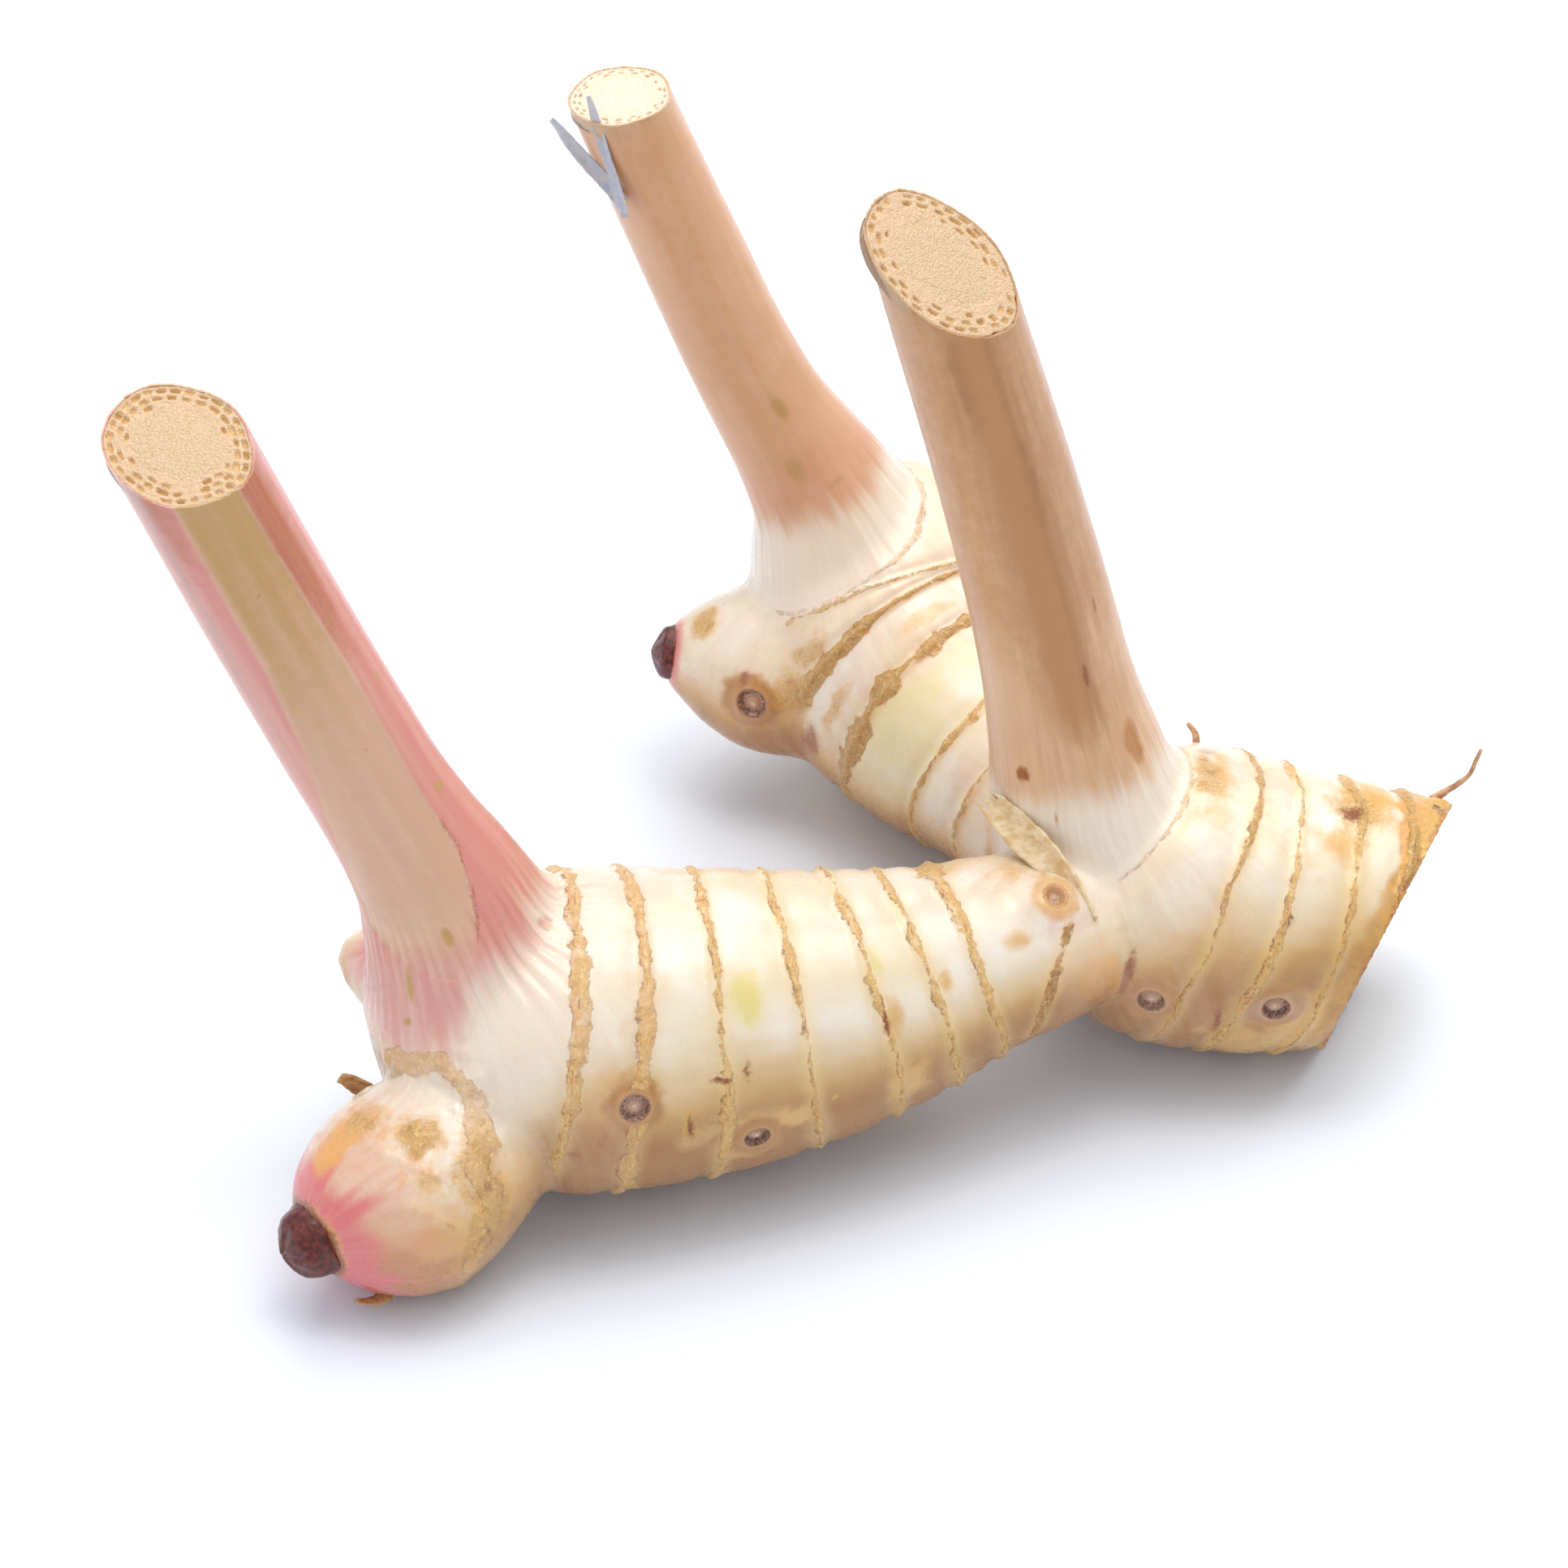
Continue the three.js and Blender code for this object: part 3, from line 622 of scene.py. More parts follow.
def shade_smooth(obj: Piece) -> None:
    """Shades every face smooth."""
    alone(obj)
    bpy.ops.object.shade_smooth()


@dataclass(frozen=True)
class Scar:
    """A leaf scar round a limb, and how broad its crust is on the top, the front and low down."""

    s: float
    height: float
    up: float
    side: float
    top: float
    front: float
    low: float
    gold: float = 0.2


@dataclass(frozen=True)
class Mark:
    """A patch of colour at a distance along a spine and an angle in degrees from its top."""

    tint: Tint
    s: float
    angle: float
    long: float
    wide: float
    amount: float


def patches(tint: Tint, *rows: tuple[float, float, float, float, float]) -> tuple[Mark, ...]:
    """Patches of one colour, each with its distance, angle, length, width and amount."""
    return tuple(Mark(tint, *row) for row in rows)


@dataclass(frozen=True)
class RootScar:
    """The round scar that a lost root left."""

    s: float
    angle: float
    radius: float


@dataclass(frozen=True)
class Crease:
    """A crusty line along points of the skin."""

    points: tuple[Spot, ...]
    width: float
    gold: float = 0.3
    rust: float = 0.0
    height: float = 0.15
    hold: float = 0.8


class Member:
    """A limb or bud of the rhizome: its spine, its scars and its patches of colour."""

    CRUST_AT = {"top": 20.0, "front": -50.0, "low": -110.0, "back": 120.0}
    CRUST_SPREAD = 3.0
    RIDGE = 0.42
    RIDGE_WIDTH = 0.62
    BELLY = 0.22
    WAVER = 0.75
    LUMPS = 0.018

    def __init__(
        self,
        name: str,
        rows: Rows,
        side: Point,
        scars: Sequence[Scar] = (),
        marks: Sequence[Mark] = (),
        roots: Sequence[RootScar] = (),
    ) -> None:
        """Gathers what grows on one spine.

        Args:
            name: Name of its tube.
            rows: Points with their radii.
            side: A sideways direction that keeps the sections from twisting.
            scars: Its leaf scars.
            marks: Its patches of colour.
            roots: Its root scars.
        """
        self.name = name
        self.spine = Spine(rows, side)
        self.scars = scars
        self.marks = marks
        self.roots = roots

    def crust_width(self, scar: Scar, angle: Array) -> Array:
        """How broad a scar's crust is at each angle.

        Args:
            scar: The leaf scar.
            angle: Angles round it, in radians from the upper side.

        Returns:
            Millimetres at each angle.
        """
        widths = {
            "top": scar.top,
            "front": scar.front,
            "low": scar.low,
            "back": 0.5 * (scar.top + scar.low),
        }
        total = np.zeros(len(angle))
        weights = np.zeros(len(angle))
        for key, degrees in self.CRUST_AT.items():
            away = turn_between(angle, degrees)
            weight = np.exp(self.CRUST_SPREAD * (np.cos(away) - 1.0))
            total += weight * widths[key]
            weights += weight
        return total / weights

    def scar_distance(self, scar: Scar, place: Place) -> Array:
        """Signed distance along the limb from a scar's line."""
        lean = scar.up * np.cos(place.angle) + scar.side * np.sin(place.angle)
        return place.s - scar.s - waver(place.s, place.angle, self.WAVER) - lean

    def relief(self, place: Place) -> Array:
        """Height of ridges, swells and lumps over the plain round limb.

        Args:
            place: Where the points lie by its spine.

        Returns:
            Millimetres at each point.
        """
        height = place.radius * lump(place.s, place.angle, self.LUMPS) * (1.0 if self.scars else 0.4)
        nearest = np.full(len(place.s), FAR)
        for scar in self.scars:
            away = self.scar_distance(scar, place)
            ridge = bell(away, self.RIDGE_WIDTH) - 0.35 * bell(away - 1.3, 0.7)
            height += self.RIDGE * scar.height * ridge
            nearest = np.minimum(nearest, np.abs(away))
        if self.scars:
            height += self.BELLY * ramp(nearest, 0.5, 3.2)
        return height

    def tint(self, tint: Tint, place: Place, wobble: Array) -> Array:
        """How strongly a colour shows at each point.

        Args:
            tint: The colour.
            place: Where the points lie by this member.
            wobble: Noise that breaks the patches' edges.

        Returns:
            A share from 0 to 1.
        """
        total = np.zeros(len(place.s))
        for mark in self.marks:
            if mark.tint is not tint:
                continue
            along = (place.s - mark.s) / mark.long
            round_it = place.radius * turn_between(place.angle, mark.angle) / mark.wide
            away = np.sqrt(along**2 + round_it**2) + 0.4 * wobble
            total = np.maximum(total, mark.amount * ramp(away, 1.4, 0.25))
        return total


FRONT = Member(
    "front",
    FRONT_LIMB,
    (0.05, 1.0, 0.0),
    scars=(
        Scar(18.0, 1.0, 0.6, 0.0, top=2.6, front=1.1, low=0.9),
        Scar(23.6, 0.9, 1.8, 0.0, top=1.1, front=0.9, low=0.7),
        Scar(30.2, 1.1, 1.8, 0.0, top=0.8, front=0.9, low=0.5),
        Scar(38.9, 0.8, 0.6, 0.0, top=0.8, front=0.8, low=0.6),
        Scar(48.4, 0.9, -0.4, 0.0, top=1.0, front=1.1, low=1.6),
        Scar(57.9, 1.0, -1.4, 0.0, top=1.4, front=1.8, low=1.9),
        Scar(66.1, 1.1, -2.4, 0.0, top=2.1, front=2.2, low=0.9, gold=0.5),
    ),
    marks=(
        *patches(Tint.STAIN, (45.4, -40, 2.4, 3.4, 0.8), (30.0, -36, 1.2, 2.4, 0.6)),
        *patches(
            Tint.TAN,
            (29.6, -60, 1.5, 3.2, 0.7), (28.8, -96, 3.2, 4.0, 0.8), (58.4, -72, 4.6, 5.4, 0.75),
            (58.4, -52, 2.0, 4.0, 0.5), (46.0, -100, 4.4, 3.6, 0.85), (41.0, -93, 3.6, 2.0, 0.9),
            (22.6, -53, 0.9, 1.6, 0.7), (12.9, -46, 1.8, 1.4, 0.7), (36.9, -89, 0.5, 0.7, 0.9),
        ),
        *patches(
            Tint.GOLD,
            (17.0, 30, 5.0, 5.5, 0.55), (10.0, 8, 4.5, 4.5, 0.5), (52.6, -86, 0.9, 2.6, 0.8),
            (67.0, -8, 0.8, 1.2, 0.55), (67.4, -20, 1.0, 1.8, 0.65),
        ),
        *patches(
            Tint.RUST,
            (52.3, -86, 0.45, 2.4, 1.0), (46.3, -67, 0.5, 1.7, 0.75), (49.0, -70, 1.4, 0.4, 0.9),
            (61.5, -88, 0.8, 1.6, 0.7), (64.5, -95, 1.0, 0.6, 0.8), (30.6, -58, 0.35, 2.6, 0.85),
        ),
        *patches(Tint.PINK, (8.6, -38, 3.4, 2.8, 0.25)),
        *patches(Tint.ORANGE, (7.0, -84, 2.4, 6.0, 0.5)),
    ),
    roots=(RootScar(58.2, -76, 1.6), RootScar(45.3, -99, 1.4)),
)
MIDDLE = Member(
    "middle",
    MIDDLE_LIMB,
    (0.03, 1.0, 0.0),
    scars=(
        Scar(20.2, 0.9, -3.2, 0.0, top=1.6, front=0.9, low=1.2, gold=0.8),
        Scar(26.2, 0.8, -3.2, 0.0, top=1.2, front=0.6, low=0.6, gold=0.6),
        Scar(33.4, 0.8, -3.6, 0.0, top=0.8, front=0.5, low=1.0, gold=0.4),
        Scar(40.3, 0.7, -4.2, 0.0, top=0.9, front=0.45, low=0.4, gold=0.7),
    ),
    marks=(
        *patches(Tint.GOLD, (41.9, 2, 3.4, 5.0, 0.75), (22.6, 2, 4.4, 6.5, 0.7)),
        *patches(
            Tint.ORANGE,
            (40.0, 10, 1.6, 6.0, 0.5), (30.8, 24, 1.8, 3.4, 0.75), (21.4, 14, 3.8, 5.5, 0.85),
        ),
        *patches(
            Tint.RUST,
            (23.6, -3, 1.2, 1.5, 0.9), (46.9, -86, 0.7, 3.4, 0.95), (30.3, -53, 0.5, 0.9, 0.9),
            (35.4, -102, 0.6, 2.8, 0.8),
        ),
        *patches(
            Tint.TAN,
            (25.0, -22, 2.8, 2.8, 0.8), (40.5, -10, 3.0, 9.0, 0.45), (33.8, -12, 1.5, 6.0, 0.35),
            (27.6, -20, 1.8, 7.0, 0.4), (25.3, -104, 7.5, 7.0, 0.95), (31.5, -118, 6.0, 6.0, 0.8),
        ),
        *patches(Tint.BRUISE, (22.0, -98, 4.0, 5.0, 0.6)),
        *patches(
            Tint.MAUVE,
            (30.5, -90, 4.4, 3.0, 0.55), (43.8, -96, 3.0, 2.6, 0.4), (41.9, 19, 1.7, 1.5, 0.7),
        ),
        *patches(Tint.STAIN, (44.0, -30, 3.0, 5.0, 0.3)),
    ),
    roots=(RootScar(43.8, -96, 1.5), RootScar(30.4, -90, 1.5)),
)
REAR = Member(
    "rear",
    REAR_LIMB,
    (0.83, 0.55, 0.0),
    scars=(
        Scar(19.0, 0.9, -2.0, 1.2, top=0.8, front=0.7, low=0.7),
        Scar(28.0, 0.9, -3.0, 2.0, top=1.3, front=0.8, low=0.9, gold=0.4),
        Scar(39.4, 1.0, -3.8, 2.4, top=1.5, front=3.0, low=1.8, gold=0.9),
        Scar(48.0, 1.2, -2.4, 1.4, top=1.2, front=2.4, low=2.0, gold=0.9),
        Scar(54.6, 0.9, -1.6, 1.0, top=0.9, front=0.7, low=0.8, gold=0.5),
    ),
    marks=(
        *patches(Tint.ORANGE, (40.5, -14, 2.0, 4.5, 0.6)),
        *patches(Tint.RUST, (43.0, -97, 1.5, 3.2, 0.75)),
        *patches(Tint.TAN, (47.5, -86, 2.8, 4.0, 0.9)),
        *patches(Tint.GOLD, (48.5, -62, 2.2, 4.5, 0.6), (41.0, -70, 1.8, 5.5, 0.6)),
        *patches(Tint.STAIN, (30.0, -60, 10.0, 13.0, 0.5)),
    ),
)
FRONT_BUD_MEMBER = Member(
    "front_bud",
    FRONT_BUD,
    (0.0, 0.0, 1.0),
    marks=(
        *patches(
            Tint.GOLD,
            (17.0, 103, 4.6, 3.6, 0.75), (12.8, 72, 3.6, 3.2, 1.0), (15.0, 48, 2.4, 1.8, 0.6),
            (8.2, 46, 1.8, 4.0, 0.7), (15.0, 85, 6.0, 12.0, 0.4),
        ),
        *patches(Tint.ORANGE, (22.0, 102, 4.0, 3.6, 0.9), (17.6, 108, 3.4, 3.4, 0.65)),
        *patches(Tint.TAN, (16.5, 12, 4.2, 3.4, 0.95), (18.0, 30, 9.0, 14.0, 0.4)),
        *patches(Tint.RUST, (9.8, 26, 0.5, 0.8, 0.6), (12.0, 2, 0.4, 1.1, 0.5)),
        *patches(Tint.PINK, (21.0, 40, 9.0, 30.0, 0.38)),
    ),
)
REAR_BUD_MEMBER = Member(
    "rear_bud",
    REAR_BUD,
    (0.0, 0.0, 1.0),
    marks=(
        *patches(Tint.GOLD, (15.4, 78, 2.0, 2.6, 0.9), (4.0, 22, 3.0, 3.4, 0.8)),
        *patches(Tint.TAN, (6.6, 15, 3.2, 3.0, 0.9)),
        *patches(Tint.RUST, (9.6, 28, 1.0, 1.3, 0.7)),
        *patches(Tint.PINK, (16.5, 20, 3.0, 6.0, 0.2)),
    ),
    roots=(RootScar(8.2, 12, 1.7),),
)
HIDDEN_BUD_MEMBER = Member(
    "hidden_bud",
    HIDDEN_BUD,
    (0.0, 0.0, 1.0),
    marks=(
        *patches(Tint.ORANGE, (9.0, 60, 5.0, 5.0, 0.6)),
        *patches(Tint.TAN, (12.0, 0, 5.0, 8.0, 0.6)),
    ),
)
MEMBERS = (FRONT, MIDDLE, REAR, FRONT_BUD_MEMBER, REAR_BUD_MEMBER, HIDDEN_BUD_MEMBER)
MIDDLE_AT = 1
FRONT_BUD_AT = 3
REAR_BUD_AT = 4
LIMBS = 3
EYE = RootScar(9.2, -25.0, 2.3)

CREASES = (
    Crease(
        (
            (-48.2, -72.9, 19.2), (-41.6, -74.7, 23.3), (-37.2, -77.6, 26.2), (-34.0, -79.9, 24.4),
            (-32.2, -84.6, 20.9), (-33.0, -87.5, 19.2), (-31.6, -88.1, 17.1), (-31.7, -90.0, 12.4),
            (-34.0, -91.3, 9.3), (-36.0, -88.5, 4.0), (-40.0, -80.0, 1.0), (-46.0, -73.0, 6.0),
            (-48.6, -71.6, 13.0), (-48.2, -72.9, 19.2),
        ),
        width=2.6,
        gold=0.5,
        height=0.25,
        hold=0.62,
    ),
    Crease(
        (
            (32.0, -56.8, 29.0), (31.2, -58.8, 28.2), (30.2, -61.5, 25.9), (28.8, -63.6, 21.1),
            (27.8, -63.3, 17.0),
        ),
        width=1.0,
        gold=0.9,
        rust=0.5,
        height=0.1,
        hold=0.85,
    ),
    Crease(
        ((-10.4, -80.9, 17.0), (-8.0, -80.2, 17.6), (-4.6, -79.0, 18.2), (-1.0, -78.2, 18.6)),
        width=0.35,
        gold=0.2,
        rust=0.5,
        height=0.1,
    ),
    Crease(
        ((-39.6, -91.4, 17.6), (-37.0, -91.6, 16.2), (-34.6, -92.2, 14.4), (-33.8, -92.6, 12.0)),
        width=0.3,
        gold=0.2,
        rust=0.5,
        height=0.15,
    ),
)


@dataclass(frozen=True)
class Ring:
    """One ring of air chambers in a cut shoot, by share of the radius."""

    inner: float
    outer: float
    count: int
    share: float
    present: float


class ShootLook(Enum):
    """How a shoot's sheath is coloured."""

    ROSE = "rose sides round an olive band"
    TAWNY = "tan with brown bruised streaks"
    SALMON = "salmon with a pink foot"


@dataclass(frozen=True)
class ShootPlan:
    """A shoot: its line, its knife cut and its chambers."""

    name: str
    slot: str
    rows: Rows
    cut_at: Spot
    cut_out: Spot
    rings: tuple[Ring, ...]
    look: ShootLook
    foot: float
    pleats: int
    foot_line: float
    marks: tuple[Mark, ...] = ()
    cut_finish: str = "cut"

    @property
    def spine(self) -> Spine:
        """The shoot's spine, its angles measured from the right, with the front at -90."""
        return Spine(self.rows, (0.0, 1.0, 0.0))

    def skin_path(self, stations: Sequence[tuple[float, float]]) -> Array:
        """Points of the skin at distances along the shoot and angles in degrees."""
        s, degrees = zip(*stations)
        return self.spine.at(s).skin(np.radians(degrees))


SHOOTS = (
    ShootPlan(
        "stem_front",
        "front_shoot",
        FRONT_STEM,
        (-61.3, -61.4, 96.4),
        (0.032, -0.353, 0.935),
        (
            Ring(0.865, 0.955, 30, 0.76, 0.92),
            Ring(0.745, 0.84, 25, 0.76, 0.85),
            Ring(0.645, 0.725, 22, 0.66, 0.6),
        ),
        ShootLook.ROSE,
        foot=17.0,
        pleats=46,
        foot_line=0.0,
        marks=(
            *patches(
                Tint.OLIVE,
                (37.3, -21, 1.3, 0.8, 0.9), (52.8, -16, 1.0, 0.6, 0.7), (62.3, -31, 1.8, 0.8, 0.7),
                (22.7, -82, 1.5, 0.7, 0.9), (17.6, -116, 2.6, 0.6, 0.9), (13.4, -121, 0.7, 0.7, 0.9),
            ),
            *patches(Tint.ORANGE, (18.0, -21, 1.2, 1.1, 0.5)),
            *patches(Tint.RUST, (70.0, -72, 0.25, 0.25, 0.8), (47.0, -60, 0.25, 0.25, 0.8)),
        ),
    ),
    ShootPlan(
        "stem_middle",
        "middle_shoot",
        MIDDLE_STEM,
        (16.7, -33.0, 99.4),
        (0.332, -0.403, 0.853),
        (
            Ring(0.88, 0.955, 30, 0.66, 0.8),
            Ring(0.775, 0.86, 23, 0.66, 0.8),
            Ring(0.68, 0.74, 20, 0.5, 0.4),
        ),
        ShootLook.TAWNY,
        foot=19.0,
        pleats=30,
        foot_line=0.4,
        marks=(
            *patches(
                Tint.BRUISE,
                (74.0, -92, 9.0, 1.6, 0.7), (58.0, -68, 12.0, 2.2, 0.75), (40.0, -76, 9.0, 2.6, 0.6),
                (26.0, -98, 9.0, 4.0, 0.22),
            ),
            *patches(Tint.OLIVE, (24.1, -39, 3.0, 1.5, 0.95), (18.0, -105, 1.2, 0.4, 0.7)),
            *patches(
                Tint.RUST,
                (23.5, -125, 1.0, 1.0, 0.9), (34.5, -62, 1.8, 0.4, 0.9), (41.7, -37, 1.6, 0.3, 0.8),
            ),
        ),
    ),
    ShootPlan(
        "stem_rear",
        "rear_shoot",
        REAR_STEM,
        (-18.7, 13.6, 90.8),
        (-0.111, -0.052, 0.992),
        (Ring(0.87, 0.93, 26, 0.5, 0.7), Ring(0.77, 0.84, 18, 0.5, 0.8)),
        ShootLook.SALMON,
        foot=21.0,
        pleats=26,
        foot_line=0.4,
        marks=(
            *patches(
                Tint.OLIVE,
                (31.5, -84, 2.2, 1.4, 0.6), (39.1, -66, 2.6, 1.0, 0.7), (27.5, -60, 0.7, 2.6, 0.45),
            ),
        ),
        cut_finish="pale_cut",
    ),
)
END_AT = (69.8, -42.5, 15.5)
END_OUT = (0.878, -0.389, -0.278)

BAND_LEFT = (
    (17.6, -87.0), (20.0, -116.0), (25.0, -146.0), (30.0, -152.0), (40.0, -132.0), (50.0, -114.0),
    (61.0, -104.0), (100.0, -102.0),
)
BAND_RIGHT = ((17.6, -87.0), (20.0, -68.0), (25.5, -53.0), (31.0, -39.0), (56.0, -35.0), (100.0, -46.0))
SLIT = ((21.0, -65.0), (23.5, -58.0), (25.5, -53.0), (28.0, -46.5), (31.0, -39.0), (34.5, -38.5))


class Survey:
    """Where points of the skin lie on the whole plant."""

    def __init__(self, points: Array) -> None:
        """Finds the points by every limb, bud and shoot.

        Args:
            points: Places in millimetres.
        """
        self.points = points
        self.members = [member.spine.locate(points) for member in MEMBERS]
        self.shoots = [plan.spine.locate(points) for plan in SHOOTS]
        self.member_gaps = np.array([place.gap for place in self.members])
        self.shoot_gaps = np.array([place.gap for place in self.shoots])
        self.owner = self.member_gaps.argmin(0)
        self.shoot = self.shoot_gaps.argmin(0)
        self.member_gap = self.member_gaps.min(0)
        self.shoot_gap = self.shoot_gaps.min(0)

    def on_shoot(self) -> Array:
        """The index of the shoot that each point is on, or -1 on the rhizome."""
        return np.where(self.shoot_gap < self.member_gap, self.shoot, -1)

    def junction(self) -> Array:
        """How strongly each point is rounded off, from 0 away from the joins.

        Returns:
            A share from 0 to 1 at each point.
        """
        gaps = np.sort(np.vstack([self.member_gaps, self.shoot_gaps]), axis=0)
        closeness = bell(gaps[1] - gaps[0], 2.6)
        front_foot = bell(self.shoot_gaps[0] - self.member_gaps[0], 5.0)
        shoot_join = np.abs(self.shoot_gap - self.member_gap) < 4.0
        bud_join = self.member_gaps[LIMBS:].min(0) < 3.0
        strength = np.where(shoot_join, 0.8, np.where(bud_join, 0.8, 0.3))
        return np.clip(np.maximum(closeness * strength, front_foot * shoot_join), 0.0, 1.0)

    def root_share(self) -> tuple[Array, Array, Array]:
        """How near the points are to root scars.

        Returns:
            The distance from the nearest scar's middle as a share of its radius, the
            flat vector from that middle in the same shares, and 1 for the eye, 0 for a scar.
        """
        share = np.full(len(self.points), 9.0)
        flat = np.zeros((len(self.points), 3))
        is_eye = np.zeros(len(self.points))
        listed = [(member, root, 0.0) for member in MEMBERS for root in member.roots]
        for member, root, eye in [*listed, (FRONT, EYE, 1.0)]:
            here = member.spine.at(root.s)
            angle = np.array([math.radians(root.angle)])
            middle = here.skin(angle)[0]
            out = middle - here.point[0]
            out /= np.linalg.norm(out)
            side = np.cross(out, here.along[0])
            away = self.points - middle
            height = away @ out
            u = (away @ here.along[0]) / root.radius
            v = (away @ side) / root.radius
            distance = np.where(np.abs(height) < 3.5, np.hypot(u, v), 9.0)
            nearer = distance < share
            share = np.where(nearer, distance, share)
            flat[nearer, 0] = u[nearer]
            flat[nearer, 1] = v[nearer]
            is_eye[nearer] = eye
        return share, flat, is_eye


def distance_to_path(points: Array, path: Sequence[Point]) -> Array:
    """Distance from each point to a line of straight stretches.

    Args:
        points: Places in millimetres, one to a row.
        path: Corners of the line, in order.

    Returns:
        Millimetres at each point.
    """
    best = np.full(len(points), 1e9)
    corners = np.array(path, float)
    for a, b in zip(corners[:-1], corners[1:]):
        run = b - a
        t = np.clip(((points - a) @ run) / (run @ run), 0.0, 1.0)
        best = np.minimum(best, np.linalg.norm(points - a - t[:, None] * run, axis=1))
    return best


@dataclass
class Lines:
    """The crusty line nearest to each point: how far off it is, on which side, and its crust."""

    away: Array
    lee: Array
    width: Array
    gold: Array
    rust: Array
    hold: Array
    lead: Array
    THIN: ClassVar[float] = 0.05

    @classmethod
    def none(cls, count: int) -> "Lines":
        """No line yet, for a number of points.

        Args:
            count: How many points there are.

        Returns:
            Lines that any offer beats.
        """
        zeros = np.zeros(count)
        lee, gold, rust, hold = (zeros.copy() for _ in range(4))
        return cls(zeros + FAR, lee, zeros + cls.THIN, gold, rust, hold, zeros - FAR)

    def offer(
        self, signed: Array, width: Array, where: Array, gold: float, rust: float, hold: float
    ) -> None:
        """Takes a line for the points that are nearer to its crust than to any other.

        Args:
            signed: Distance from the line, with a sign for the side.
            width: Width of its crust.
            where: The points that it may have.
            gold: How golden its crust is.
            rust: How brown its crust is.
            hold: How well its crust covers the skin.
        """
        lead = np.where(where, width / 2.0 - np.abs(signed), -FAR)
        better = lead > self.lead
        self.lead[better] = lead[better]
        self.away[better] = np.abs(signed[better])
        self.lee[better] = np.clip(signed[better] / 0.3, -1.0, 1.0)
        self.width[better] = width[better]
        self.gold[better] = gold
        self.rust[better] = rust
        self.hold[better] = hold


@dataclass
class Skin:
    """Everything the skin's shape and colour need, for each vertex."""

    lines: Lines
    height: Array
    straight: Array
    grain: Array
    scar: Array
    eye: Array
    # Painted shade: how far the skin faces down, which darkens it toward tan and brown.
    under: Array
    join: Array
    tints: dict[Tint, Array]
    RING_FAR: ClassVar[float] = 5.0

    def keep(self, obj: Piece) -> None:
        """Stores the values on a mesh for its material.

        Args:
            obj: The mesh, with a vertex to each value.
        """
        lines = self.lines
        far = np.minimum(lines.away, self.RING_FAR)
        by_line = {"ring": far, "lee": lines.lee, "crust": lines.width, "hold": lines.hold}
        for name, values in by_line.items():
            store(obj, name, values)
        for name in ("straight", "grain", "scar", "eye", "under", "join"):
            store(obj, name, getattr(self, name))
        for tint, values in self.tints.items():
            store(obj, tint.value, np.clip(values, 0.0, 1.0))


